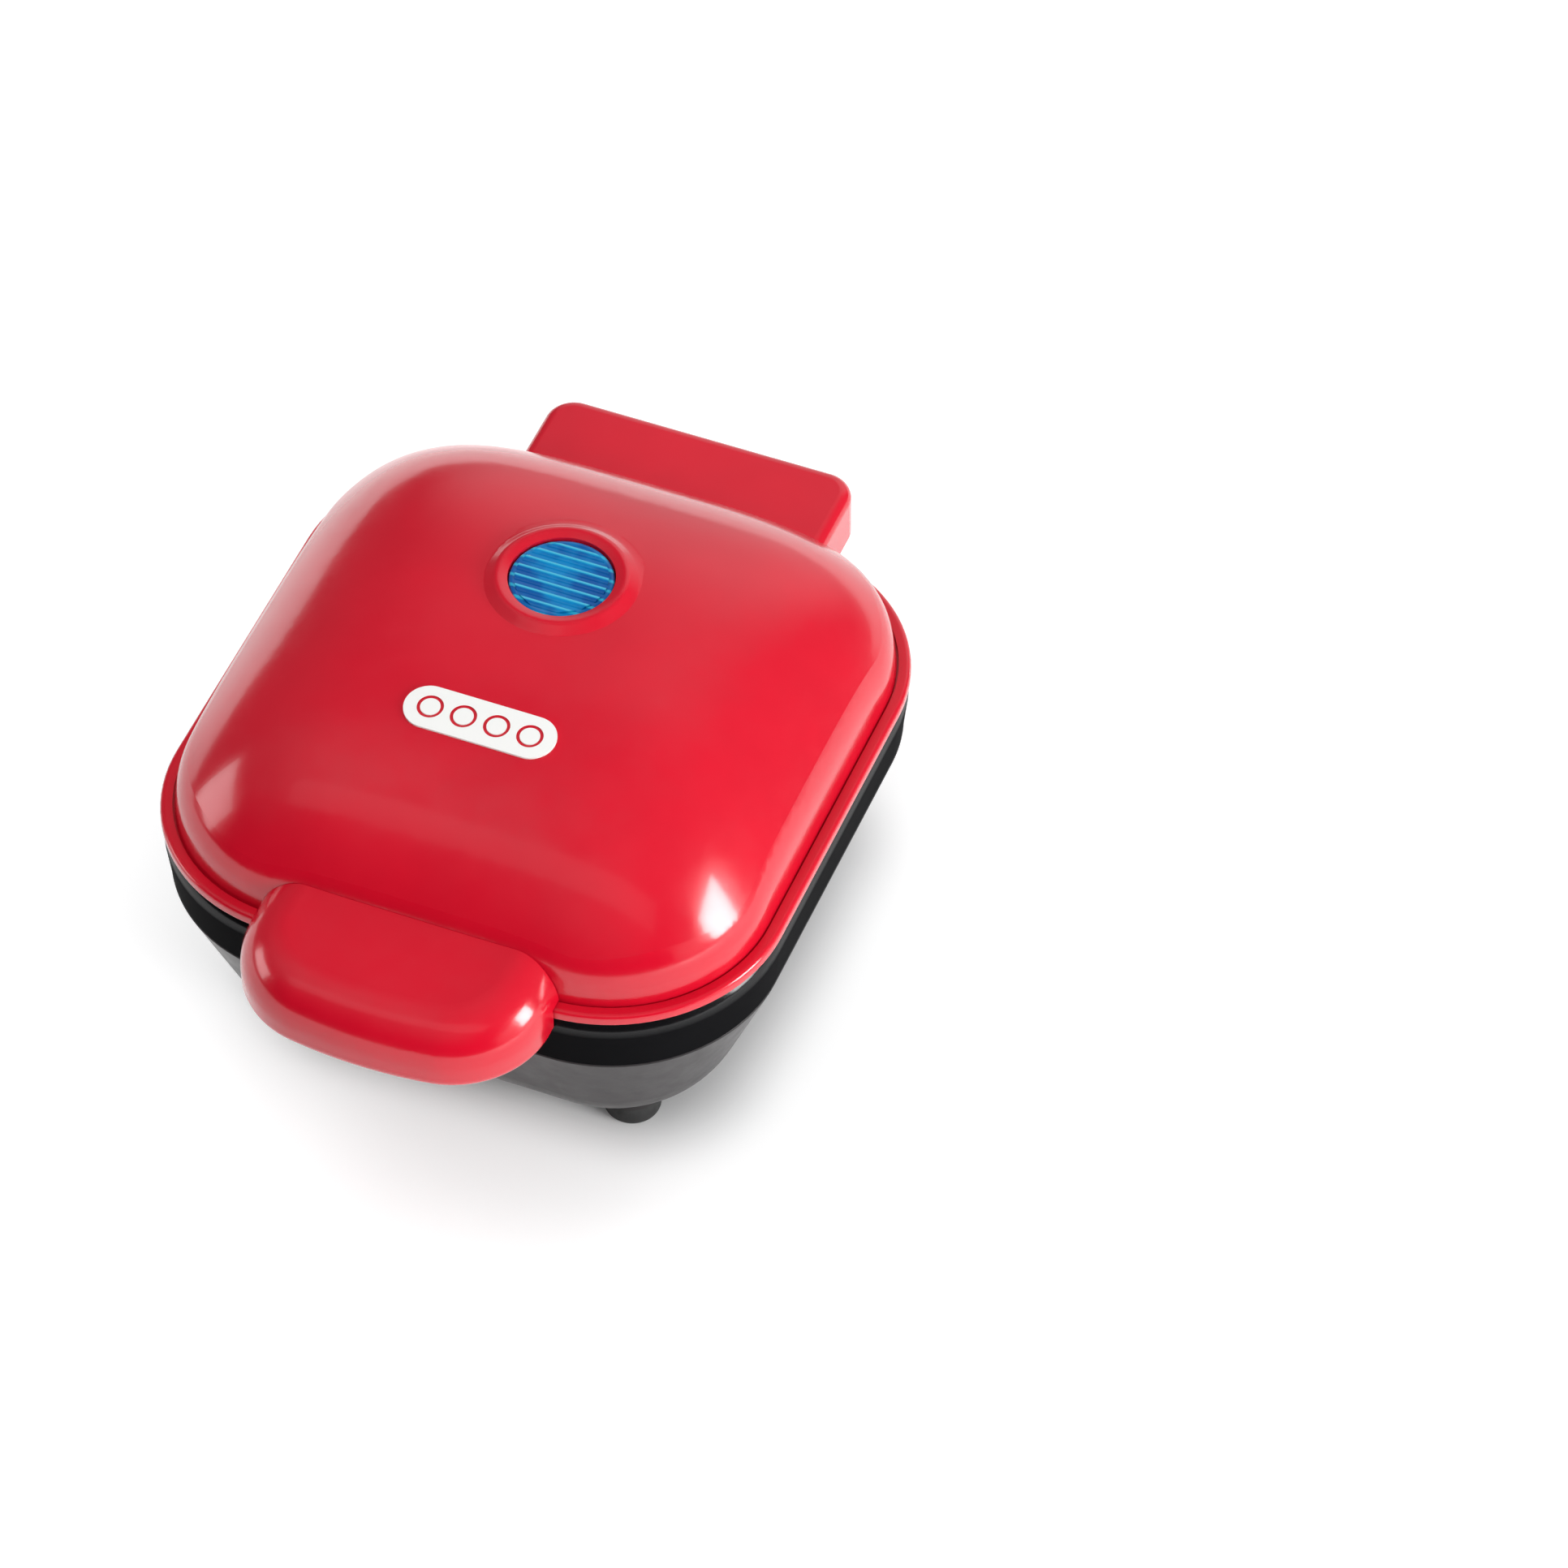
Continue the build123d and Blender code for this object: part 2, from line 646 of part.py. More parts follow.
def plate_screw_places():
    """Eight places along the plate's flat rim."""
    inset = plate_setback + plate_rim / 2 - 1
    x, y = lid_width / 2 - inset, lid_length / 2 - inset
    side = [(sx * x, sy * plate_screw_spread) for sx in (-1, 1) for sy in (-1, 1)]
    return side + [(sx * plate_screw_spread, sy * y) for sx in (-1, 1) for sy in (-1, 1)]


def make_lid_plate():
    """Dark pressed plate under the lid, raised in the middle for headroom."""
    inner = plate_setback + plate_rim + plate_sheet
    body = block(plate_setback, lid_bottom, lid_bottom + plate_sheet)
    body += block(plate_setback + plate_rim, lid_bottom, lid_bottom + plate_recess + plate_sheet,
                  taper=plate_draft)
    body -= block(inner, lid_bottom - 0.01, lid_bottom + plate_recess, taper=plate_draft)
    upper = body.faces().sort_by(Axis.Z)[-1].edges()
    body = fillet(upper, plate_round)
    for x, y in plate_screw_places():
        body -= rod(small_screw_radius + hole_gap, lid_bottom - beyond, lid_bottom + 3, x, y)
        body -= Pos(x, y, lid_bottom + 0.5) * Cone(small_head_radius + loose_gap,
                                                   small_screw_radius + hole_gap, 1.1)
    rear = lid_length / 2 - plate_setback
    body -= slab(-lead_slot / 2, lead_slot / 2, rear - plate_rim + 0.6, rear + beyond, lid_bottom - beyond,
                 lid_bottom + plate_sheet + beyond)
    return body


def make_plate_screws():
    """Countersunk screws that hold the plate to the frame."""
    screws = []
    for x, y in plate_screw_places():
        body = Pos(x, y, lid_bottom + 0.6) * Cone(small_head_radius, small_screw_radius - thread_play, 1.0)
        body += rod(small_screw_radius - thread_play, lid_bottom + 0.8,
                    frame_wall_top - plate_screw_cover - screw_end_gap, x, y)
        for turn in (0, 90):
            body -= Pos(x, y, lid_bottom) * Rot(0, 0, turn) * Box(small_head_radius * 1.2, 0.5, 0.9)
        screws.append(body)
    return screws


def make_lid_screws():
    """Four screws from below through the frame's tabs into the cover's posts."""
    head_bottom = frame_wall_top - tab_thickness - screw_head_height - seat_gap
    tip = frame_wall_top + lid_screw_depth - screw_end_gap
    return [screw(x, y, head_bottom, tip, screw_radius - thread_play) for x, y in lid_screw_places()]


def make_hinge_plug():
    """Press-in button over the pin's end of the housing."""
    half = hinge_width / 2
    head = bar_x(pin_radius + 1.6, -half - plug_head, -half - 0.02, hinge_offset, hinge_height)
    head = fillet(head.edges().group_by(Axis.X)[0], 0.7)
    return head + bar_x(pin_radius - 0.05, -half - 0.1, -half + hinge_wall - 0.3, hinge_offset,
                        hinge_height)


# ---------------------------------------------------------------- base
def make_base_collar():
    """Glossy black ring that carries the tray and the two hinge knuckles."""
    shoulder = base_top - collar_round
    body = block(collar_inset, shoulder - 0.1, base_top)
    body = fillet(body.edges().group_by(Axis.Z)[-1], collar_round)
    body += funnel(collar_inset, shoulder, collar_bottom, collar_draft)
    opening = tray_flange_inset + collar_ledge
    body -= block(opening, collar_bottom - beyond, base_top + beyond)
    body -= block(tray_flange_inset - fit_gap, base_top - tray_flange, base_top + beyond)
    body -= ring(collar_foot_inset + collar_wall, opening - collar_inner_wall, collar_bottom - beyond,
                 base_top - collar_roof)
    rear = lid_length / 2 - collar_foot_inset - collar_wall / 2
    for side in (-1, 1):
        left = side * knuckle_offset - knuckle_width / 2
        right = left + knuckle_width
        arm = slab(left, right, rear, hinge_offset, hinge_height - eye_radius, base_top - 0.1)
        arm -= slab(left - beyond, right + beyond, hinge_offset - eye_radius - beyond, hinge_offset + beyond,
                    hinge_height, base_top + beyond)
        arm -= funnel(collar_inset + 0.3, base_top - beyond, collar_bottom, collar_draft)
        arm -= block(collar_inset + 0.3, base_top - collar_round, base_top + beyond)
        arm += bar_x(eye_radius, left, right, hinge_offset, hinge_height)
        arm -= bar_x(pin_radius + running_gap, left - beyond, right + beyond, hinge_offset, hinge_height)
        body += arm
    return body


def make_hinge_pin():
    """Steel rod through the housing's eyes and the base's knuckles."""
    half = hinge_width / 2 - hinge_wall
    pin = bar_x(pin_radius, -half + 0.2, half - 0.2, hinge_offset, hinge_height)
    return chamfer(pin.edges().filter_by(GeomType.CIRCLE), 0.4)


def make_base_shell():
    """Black bowl with floor, screw posts, foot seats, vents and the cord's boss."""
    body = shell_form(0, collar_bottom)
    rim = body.faces().sort_by(Axis.Z)[-1].edges()
    body = fillet(rim, shell_bead)
    body += gland_boss()
    for x, y in four(foot_x, foot_y):
        body += rod(foot_radius + 0.5, shell_bottom, shell_bottom + foot_boss_height, x, y)
    body -= shell_form(shell_wall, collar_bottom + beyond)
    body += gland_boss() & slab(-far, far, gland_inner_face, far, shell_floor, far)
    rib = collar_foot_inset + collar_wall + 0.3
    body += ring(rib, rib + rib_wall, collar_bottom - rib_height,
                 collar_bottom + rib_height) & shell_envelope()
    for x, y in four(boss_x, boss_y):
        body += rod(boss_radius, shell_bottom + 0.5, shield_height - seat_gap, x, y)
        body -= rod(screw_radius + hole_gap, 0, shield_height + beyond, x, y)
        body -= rod(screw_head_radius + loose_gap, 0, shell_floor + screw_head_height + 0.2, x, y)
    for x, y in four(foot_x, foot_y):
        body -= rod(foot_neck_radius + hole_gap, 0, shell_bottom + foot_boss_height + beyond, x, y)
    for step in range(vent_count):
        offset = (step - (vent_count - 1) / 2) * vent_pitch
        body -= extrude(Pos(0, offset) * SlotOverall(vent_length, vent_width), amount=shell_floor + beyond)
    body -= bar_y(gland_radius + hole_gap, gland_inner_face - beyond, gland_boss_end + beyond, 0,
                  gland_height)
    return body


def gland_boss():
    """Round boss on the shell's back for the cord gland."""
    return bar_y(gland_boss_radius, gland_inner_face, gland_boss_end, 0, gland_height)


def make_cord_gland():
    """Rubber bush with a flange at each end of the boss; the cord's hole runs through it."""
    outer = gland_boss_end + seat_gap
    inner = gland_inner_face - seat_gap
    body = bar_y(gland_radius, inner - gland_flange, outer + gland_flange, 0, gland_height)
    outside = bar_y(gland_flange_radius, outer, outer + gland_flange, 0, gland_height)
    body += fillet(outside.edges().group_by(Axis.Y)[-1], 0.6)
    body += bar_y(gland_radius + gland_inner_lip, inner - gland_flange, inner, 0, gland_height)
    return body - bar_y(gland_bore, inner - far, outer + far, 0, gland_height)


def shell_envelope():
    """Room for the locating rib: down to the shell's wall and up inside the collar."""
    return shell_form(shell_wall / 4, collar_bottom) + block(collar_inset, collar_bottom, base_top)


def make_foot(x, y):
    """Push-in rubber foot: pad, neck and barbed head."""
    pad = rod(foot_radius, 0, shell_bottom, x, y)
    pad = fillet(pad.edges().group_by(Axis.Z)[0], foot_round)
    grip = foot_grip()
    pad += rod(foot_neck_radius, shell_bottom - 0.5, grip, x, y)
    head = Pos(x, y, grip + foot_head_height / 2) * Cone(foot_head_radius, foot_neck_radius - 0.8,
                                                         foot_head_height)
    return pad + head


def foot_grip():
    """Height at which the foot's head grips the shell's inner face."""
    return shell_floor + foot_head_rise


def make_water_tray():
    """Cast heating tray: flange, drafted walls, floor, cup rings and screw bosses."""
    body = block(tray_flange_inset, base_top - tray_flange, base_top)
    bowl = funnel(tray_cavity_inset - tray_wall, base_top, tray_underside, tray_draft)
    bowl = fillet(bowl.faces().sort_by(Axis.Z)[0].edges(), tray_inner_round + tray_wall)
    cavity = funnel(tray_cavity_inset, base_top, tray_floor_height, tray_draft)
    cavity = fillet(cavity.faces().sort_by(Axis.Z)[0].edges(), tray_inner_round)
    body = body + bowl - cavity
    ring_radius = cup_bottom_radius + ring_gap
    for x, y in four(cup_x, cup_y):
        wall = rod(ring_radius + ring_wall, tray_floor_height - 0.5, tray_floor_height + ring_height, x, y)
        body += wall - rod(ring_radius, 0, base_top, x, y)
    for x, y in four(boss_x, boss_y):
        body += rod(boss_radius, shield_top + seat_gap, tray_underside + 0.5, x, y)
        body -= rod(screw_radius, 0, tray_underside - tray_screw_cover, x, y)
    return body


def make_base_screws():
    """Four long screws from below through the shell and the shield into the tray."""
    tip = tray_underside - tray_screw_cover - screw_end_gap
    head_bottom = shell_floor + 0.2 - seat_gap
    return [screw(x, y, head_bottom, tip, screw_radius - thread_play) for x, y in four(boss_x, boss_y)]


def make_cup(x, y):
    """Silicone cup: tapered wall, rolled flange and a pull tab towards the tray's middle."""
    top, low = cup_top, cup_bottom
    profile = Polyline((0, low), (cup_bottom_radius, low), (cup_mouth_radius + cup_wall, top - cup_wall),
                       (cup_flange_radius, top - cup_wall), (cup_flange_radius, top),
                       (cup_mouth_radius, top), (cup_bottom_radius - cup_wall, low + cup_wall),
                       (0, low + cup_wall), (0, low))
    body = revolve(make_face(Plane.XZ * profile), Axis.Z)
    turn = math.degrees(math.atan2(-y, -x))
    tab = slab(cup_flange_radius - 2, cup_flange_radius + cup_tab_length, -cup_tab_width / 2,
               cup_tab_width / 2, top - cup_wall, top)
    tab = fillet(tab.edges().filter_by(Axis.Z).sort_by(Axis.X)[-2:], 3.0)
    body += Rot(0, 0, turn) * tab
    bottom = body.edges().group_by(Axis.Z)[0]
    body = fillet(bottom, cup_round)
    return Pos(x, y, 0) * body


def make_heating_element():
    """Tubular heater: an open ring under the tray with two cold ends to the back."""
    half = element_opening / 2
    angle = math.degrees(math.asin(half / element_ring_radius))
    meet = element_ring_radius * math.cos(math.radians(angle))
    arc = CenterArc((0, 0), element_ring_radius, 90 + angle, 360 - 2 * angle)
    left = Line((-half, element_end), (-half, meet))
    right = Line((half, meet), (half, element_end))
    path = Plane.XY.offset(element_height) * (left + arc + right)
    start = Plane(origin=(-half, element_end, element_height), z_dir=(0, -1, 0))
    return sweep(start * Circle(element_radius), path=path, transition=Transition.ROUND)


def make_heater_terminals():
    """Steel pins at the element's cold ends, each with a flat tab."""
    pins = []
    for side in (-1, 1):
        x = side * element_opening / 2
        start = element_end + seat_gap
        pin = bar_y(terminal_radius, start, start + terminal_length, x, element_height)
        pin += slab(x - 0.4, x + 0.4, start + terminal_length / 2, start + terminal_length,
                    element_height, element_height + 3.2)
        pins.append(pin)
    return pins


def make_element_clamps():
    """Sheet straps that hold the element against the tray."""
    low = element_height - element_radius - seat_gap
    high = tray_underside - seat_gap
    half = element_radius + clamp_gap
    clamps = []
    for turn in clamp_turns:
        strap = slab(-half - clamp_sheet, half + clamp_sheet, -clamp_width / 2, clamp_width / 2,
                     low - clamp_sheet, high)
        strap -= slab(-half, half, -clamp_width, clamp_width, low, high + beyond)
        for side in (-1, 1):
            edge = side * (half + clamp_sheet)
            foot = Pos(edge + side * clamp_foot / 2, 0, high - clamp_sheet / 2) * Box(
                clamp_foot, clamp_width, clamp_sheet)
            strap += foot
        clamps.append(Rot(0, 0, turn) * Pos(element_ring_radius, 0, 0) * strap)
    return clamps


def make_thermostat():
    """Disc thermostat under the tray's middle, with a flange and two tabs."""
    high = tray_underside - seat_gap
    low = high - thermostat_height
    body = rod(thermostat_radius, low, high)
    body += slab(-thermostat_flange_length / 2, thermostat_flange_length / 2, -thermostat_radius / 2,
                 thermostat_radius / 2, high - thermostat_flange, high)
    for side in (-1, 1):
        middle = side * thermostat_tab_offset
        half = thermostat_tab_width / 2
        body += slab(middle - half, middle + half, -thermostat_radius - thermostat_tab_length, 0,
                     low + thermostat_tab_rise, low + thermostat_tab_rise + thermostat_tab_sheet)
    return body


def make_thermal_fuse():
    """Small round fuse across the tray's front, with its two stiff leads."""
    height = tray_underside - fuse_radius - seat_gap
    body = bar_x(fuse_radius, -fuse_length / 2, fuse_length / 2, -fuse_offset, height)
    half = fuse_length / 2 + fuse_lead_length
    return body + bar_x(fuse_lead_radius, -half, half, -fuse_offset, height)


def make_fuse_clip():
    """Bent strap that presses the fuse to the tray."""
    high = tray_underside - seat_gap
    low = high - 2 * fuse_radius - seat_gap
    half = fuse_radius + fit_gap
    side_x = fuse_clip_width / 2
    clip = slab(-side_x, side_x, -half - shield_sheet, half + shield_sheet, low - shield_sheet, high)
    clip -= slab(-fuse_clip_width, fuse_clip_width, -half, half, low, high + beyond)
    for side in (-1, 1):
        edge = side * (half + shield_sheet)
        clip += Pos(0, edge + side * clamp_foot / 2, high - shield_sheet / 2) * Box(
            fuse_clip_width, clamp_foot, shield_sheet)
    return Pos(0, -fuse_offset, 0) * clip


def make_heat_shield():
    """Bright sheet between the heater and the base's floor, with a raised edge."""
    body = block(shield_inset, shield_height, shield_top)
    body += ring(shield_inset, shield_inset + shield_sheet, shield_height, shield_height + shield_lip)
    for x, y in four(boss_x, boss_y):
        body -= rod(screw_radius + loose_gap, 0, shield_top + beyond, x, y)
    rear = lid_length / 2 - shield_inset
    half = shield_notch / 2
    return body - slab(-half, half, rear - shield_notch_depth, rear + beyond, shield_height - beyond, far)


def make_terminal_block():
    """Ceramic block on the floor where the supply meets the heater's wires."""
    length, width, height = terminal_block_size
    low = shell_floor + seat_gap
    body = Pos(0, terminal_block_offset, low + height / 2) * Box(length, width, height)
    body = chamfer(body.edges().group_by(Axis.Z)[-1], 0.6)
    for step in (-1, 0, 1):
        x = step * length / 3
        body -= rod(1.6, low + height - 2.2, low + height + beyond, x, terminal_block_offset)
        body -= bar_y(wire_radius + hole_gap, terminal_block_offset + width / 2 - 3,
                      terminal_block_offset + width, x, low + height / 2)
    return body


def make_supply_leads():
    """Two wires from the gland's inner end into the terminal block."""
    start = gland_inner_face - gland_flange - 0.2
    into = terminal_block_offset + terminal_block_size[1] / 2 - 2.5
    low = shell_floor + seat_gap + terminal_block_size[2] / 2
    leads = []
    for x, end in ((-2.0, -terminal_block_size[0] / 3), (2.0, 0.0)):
        points = [(x, start, gland_height), (x, start - 4.5, gland_height), (end, into + 7, low),
                  (end, into, low)]
        leads.append(wire(points))
    return leads


def make_heater_leads():
    """Two wires from below the element's pins to the thermostat and the block."""
    low = shell_floor + seat_gap + terminal_block_size[2] / 2
    into = terminal_block_offset + terminal_block_size[1] / 2 - 2.5
    x = element_opening / 2
    pin = element_end + terminal_length * 0.75
    under = element_height - terminal_radius - seat_gap
    block_wire = wire([(x, pin, under), (x, pin, under - 3.5), (x, pin - 3, shield_height - 2.5),
                       (x - 4, into + 6, low), (terminal_block_size[0] / 3, into, low)])
    tab = tray_underside - seat_gap - thermostat_height + thermostat_tab_rise
    reach_y = -thermostat_radius - thermostat_tab_length + 1
    other = wire([(-x, pin, under), (-x, pin, under - 3.5), (-x, pin - 6, shield_top + 2.2),
                  (-16, 10, shield_top + 1.6), (-8, reach_y, shield_top + 1.6),
                  (-thermostat_tab_offset, reach_y, shield_top + 1.6),
                  (-thermostat_tab_offset, reach_y, tab - seat_gap)])
    return [block_wire, other]


parts = {
    "lid_cover": make_lid_cover,
    "lid_frame": make_lid_frame,
    "handle": make_handle,
    "handle_cover": make_handle_cover,
    "handle_screws": make_handle_screws,
    "badge": make_badge,
    "indicator_lens": make_indicator_lens,
    "lamp_socket": make_lamp_socket,
    "neon_lamp": make_neon_lamp,
    "lamp_lead": make_lamp_lead,
    "lid_plate": make_lid_plate,
    "lid_plate_screws": make_plate_screws,
    "lid_screws": make_lid_screws,
    "hinge_plug": make_hinge_plug,
    "base_collar": make_base_collar,
    "hinge_pin": make_hinge_pin,
    "base_shell": make_base_shell,
    "water_tray": make_water_tray,
    "base_screws": make_base_screws,
    "heating_element": make_heating_element,
    "heater_terminals": make_heater_terminals,
    "element_clamps": make_element_clamps,
    "thermostat": make_thermostat,
    "thermal_fuse": make_thermal_fuse,
    "fuse_clip": make_fuse_clip,
    "heat_shield": make_heat_shield,
    "terminal_block": make_terminal_block,
    "supply_leads": make_supply_leads,
    "heater_leads": make_heater_leads,
    "cord_gland": make_cord_gland,
}
corners = {"front_left": (-1, -1), "front_right": (1, -1), "rear_left": (-1, 1), "rear_right": (1, 1)}

os.makedirs("parts", exist_ok=True)
for corner, (side, end) in corners.items():
    parts[f"foot_{corner}"] = lambda x=side * foot_x, y=end * foot_y: make_foot(x, y)
    parts[f"egg_cup_{corner}"] = lambda x=side * cup_x, y=end * cup_y: make_cup(x, y)
for name, make in parts.items():
    made = make()
    solids = made if isinstance(made, list) else [made]
    placed = [Pos(0, centre_shift, 0) * solid for solid in solids]
    export_step(placed[0] if len(placed) == 1 else Compound(placed), f"parts/{name}.step")
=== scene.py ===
"""Egg bite maker: a small countertop cooker with a red domed lid, a black base and four silicone cups."""
import math

import bmesh
import bpy
from bpy.props import FloatProperty, FloatVectorProperty, IntProperty, PointerProperty
from bpy.types import Operator, Panel, PropertyGroup
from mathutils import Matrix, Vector


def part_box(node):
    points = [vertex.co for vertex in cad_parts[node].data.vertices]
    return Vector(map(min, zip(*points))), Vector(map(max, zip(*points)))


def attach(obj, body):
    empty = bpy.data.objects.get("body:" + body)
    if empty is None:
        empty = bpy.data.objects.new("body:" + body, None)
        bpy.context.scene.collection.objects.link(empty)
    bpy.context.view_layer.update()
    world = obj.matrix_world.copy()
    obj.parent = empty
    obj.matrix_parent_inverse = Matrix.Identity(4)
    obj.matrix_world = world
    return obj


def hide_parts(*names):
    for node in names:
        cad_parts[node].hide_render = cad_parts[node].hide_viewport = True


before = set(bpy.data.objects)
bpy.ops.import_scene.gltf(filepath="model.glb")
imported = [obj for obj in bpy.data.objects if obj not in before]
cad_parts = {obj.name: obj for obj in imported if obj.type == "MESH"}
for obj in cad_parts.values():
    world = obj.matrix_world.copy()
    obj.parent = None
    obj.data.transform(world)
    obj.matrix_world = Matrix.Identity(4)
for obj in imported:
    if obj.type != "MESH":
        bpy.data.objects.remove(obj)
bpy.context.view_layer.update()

bl_info = {
    "name": "Egg Bite Maker",
    "version": (1, 0, 0),
    "blender": (4, 5, 0),
    "location": "View3D > Sidebar > Cooker",
    "description": "Dresses the cooker's frame with its lens, its cups, finishes and a studio",
    "category": "Object",
}

MM = 0.001
MIDDLE_Y = 0.5 * MM         # the lid's middle, behind the frame's origin

# studio: directions are (turn, rise) in degrees; turn is 0 in front of the cooker and 90 at its right
CAMERA_TARGET = Vector((59.9, 8.2, 65.0)) * MM
CAMERA_AZIMUTH, CAMERA_ELEVATION = 0.382, 0.834
CAMERA_DISTANCE = 1.7784
CAMERA_LENS = 172.08
FILL_LAMPS = (              # name, turn, rise, distance, size, strength
    ("key light", -75, 58, 1.7, (1.1, 1.1), 2.2),
    ("front fill", 12, 48, 1.7, (1.2, 0.8), 1.25),
    ("right fill", 74, 14, 1.3, (0.6, 0.6), 16.0),
    ("rear fill", 175, 38, 1.7, (1.2, 0.8), 1.4),
    ("overhead", 0, 89, 1.6, (2.0, 2.0), 0.95),
)
GLOSS_LAMPS = (
    ("right softbox", 97, 18, 1.1, (0.34, 0.50), 20.0),
    ("left softbox", -77, 15, 1.1, (0.46, 0.34), 3.8),
    ("ceiling strip", 0, 61, 1.1, (1.6, 0.30), 0.35),
)
SKY_LOBES = (               # direction, cosines of its outer and inner edge, strength
    ((-0.05, 0.93, 0.36), 0.80, 0.98, 0.85),
    ((0, 0, 1), 0.3, 0.9, 0.12),
    ((0.95, 0.3, 0.1), 0.5, 0.9, 0.2),
    ((-0.95, 0.3, 0.1), 0.6, 0.9, 0.14),
)
SKY_BASE = 0.01
FLOOR_PALE = 0.82           # the paper's own colour
SHADOW_MIDDLE = (6, 6)      # mm; the painted glow on the floor stays out of a rounded rectangle about this place, so the foot shadow is kept
SHADOW_HALF = (35, 38)      # mm; from its middle to where its corners start to round
SHADOW_FADE = (14, 38)      # mm; past those sides, where the painted glow on the floor starts and where it is full
CLEAR_GLOW = 0.40           # painted glow that lifts the floor beside the cooker, up to full white far off
CLEAR_FAR = (0.2, 1.6)


def length(name, description, default):
    """A size in metres, shown in the scene's unit."""
    return FloatProperty(name=name, description=description, default=default * MM, unit="LENGTH", precision=4)


def colour(name, description, default):
    """A colour that a user may change."""
    return FloatVectorProperty(name=name, description=description, default=default, subtype="COLOR", size=3,
                               min=0.0, max=1.0)


class CookerSizes(PropertyGroup):
    """Sizes of the pieces that are modelled here, and of the marks in their finishes."""
    lens_bed: length("Lens bed", "Lens face below the crests of its ribs", 0.5)
    rib_count: IntProperty(name="Ribs", description="Ribs across the lens", default=7, min=1)
    rib_pitch: length("Rib pitch", "From one rib of the lens to the next", 3.2)
    rib_radius: length("Rib radius", "Of each rib's round back", 1.5)
    # offset of the painted highlight along each rib of the lens
    rib_glint: length("Rib glint", "Bright line behind each rib's crest", 0.3)
    ring_pitch: length("Ring pitch", "From one ring of the badge to the next", 8.4)
    ring_radius: length("Ring radius", "Outside of a ring", 3.2)
    ring_line: length("Ring line", "Width of a ring's groove", 0.8)
    band_top: length("Band height", "Top of the collar's matt band above the table", 60.2)
    cup_mouth: length("Cup mouth", "Radius inside the rim", 25.5)
    cup_flange: length("Cup flange", "Width of the rolled rim", 2.2)
    cup_taper: length("Cup taper", "Bottom's radius less than the mouth's", 3.7)
    cup_wall: length("Cup wall", "Thickness of the silicone", 1.6)
    tab_length: length("Tab length", "Pull tab past the rim", 4.0)
    tab_half_width: length("Tab half width", "Half of the pull tab's root", 4.6)


class CookerColours(PropertyGroup):
    """Colours of the finishes."""
    red: colour("Red", "Glossy moulded shells", (0.60, 0.004, 0.020))
    black: colour("Black", "Glossy collar", (0.004, 0.004, 0.0045))
    bowl: colour("Bowl", "Satin base shell", (0.032, 0.029, 0.030))
    coating: colour("Coating", "Nonstick tray and plate", (0.035, 0.035, 0.038))
    white: colour("White", "Badge and lamp socket", (0.86, 0.86, 0.84))
    lens: colour("Lens", "Indicator light", (0.001, 0.09, 0.34))
    # painted glow: lighter blue laid into the lens's colour where a lamp would shine through it
    lens_painted_glow: colour("Lens glow", "Where the lamp shines through the lens", (0.001, 0.22, 0.52))
    # painted highlight: brighter cyan laid into the lens's colour along each rib's crest
    lens_crest_highlight: colour("Lens crests", "Along the ribs of the lens", (0.02, 0.42, 0.64))
    silicone: colour("Silicone", "Egg cups", (0.50, 0.016, 0.028))
    steel: colour("Steel", "Screws, pin and terminals", (0.62, 0.62, 0.63))
    heated: colour("Heated steel", "Heating element and thermostat", (0.33, 0.30, 0.27))
    aluminium: colour("Aluminium", "Shield and clips", (0.80, 0.80, 0.81))
    rubber: colour("Rubber", "Feet and cord gland", (0.018, 0.018, 0.018))
    sleeve: colour("Sleeve", "The lamp's lead", (0.02, 0.02, 0.02))
    braid: colour("Braid", "Sleeves of the mains wires", (0.72, 0.68, 0.58))


def sizes():
    return bpy.context.scene.cooker_sizes


def colours():
    return bpy.context.scene.cooker_colours


def middle_of(low, high):
    """Middle of a box, seen from above."""
    return (low[0] + high[0]) / 2, (low[1] + high[1]) / 2


# ---------------------------------------------------------------- working on a piece
def adopt(name):
    """The primitive just added, named and put in order."""
    piece = bpy.context.active_object
    piece.name = name
    piece.data.name = name
    return piece


def alone(piece):
    """Only this piece is selected and active, in object mode."""
    if bpy.context.mode != "OBJECT":
        bpy.ops.object.mode_set(mode="OBJECT")
    bpy.ops.object.select_all(action="DESELECT")
    piece.select_set(True)
    bpy.context.view_layer.objects.active = piece


def settle(piece):
    """Puts the piece's place into its mesh, so that the object sits unturned at the origin."""
    alone(piece)
    bpy.ops.object.transform_apply(location=True, rotation=True, scale=True)


def edit(piece):
    """Opens the piece in edit mode."""
    alone(piece)
    bpy.ops.object.mode_set(mode="EDIT")
    bpy.ops.mesh.select_mode(type="FACE")


def close_edit():
    bpy.ops.object.mode_set(mode="OBJECT")


def pick_faces(piece, test):
    """In edit mode, selects only the faces for which test holds, and counts them."""
    bpy.ops.mesh.select_all(action="DESELECT")
    mesh = bmesh.from_edit_mesh(piece.data)
    picked = [face for face in mesh.faces if test(face)]
    for face in picked:
        face.select_set(True)
    mesh.select_flush_mode()
    bmesh.update_edit_mesh(piece.data)
    return len(picked)


def apply_all(piece):
    """Applies the piece's modifiers in order."""
    alone(piece)
    for modifier in list(piece.modifiers):
        bpy.ops.object.modifier_apply(modifier=modifier.name)


def boolean(piece, tool, operation):
    """Cuts, joins or intersects a piece with a tool, and removes the tool."""
    alone(piece)
    modifier = piece.modifiers.new("Boolean", "BOOLEAN")
    modifier.operation = operation
    modifier.solver = "EXACT"
    modifier.object = tool
    bpy.ops.object.modifier_apply(modifier=modifier.name)
    bpy.data.objects.remove(tool)


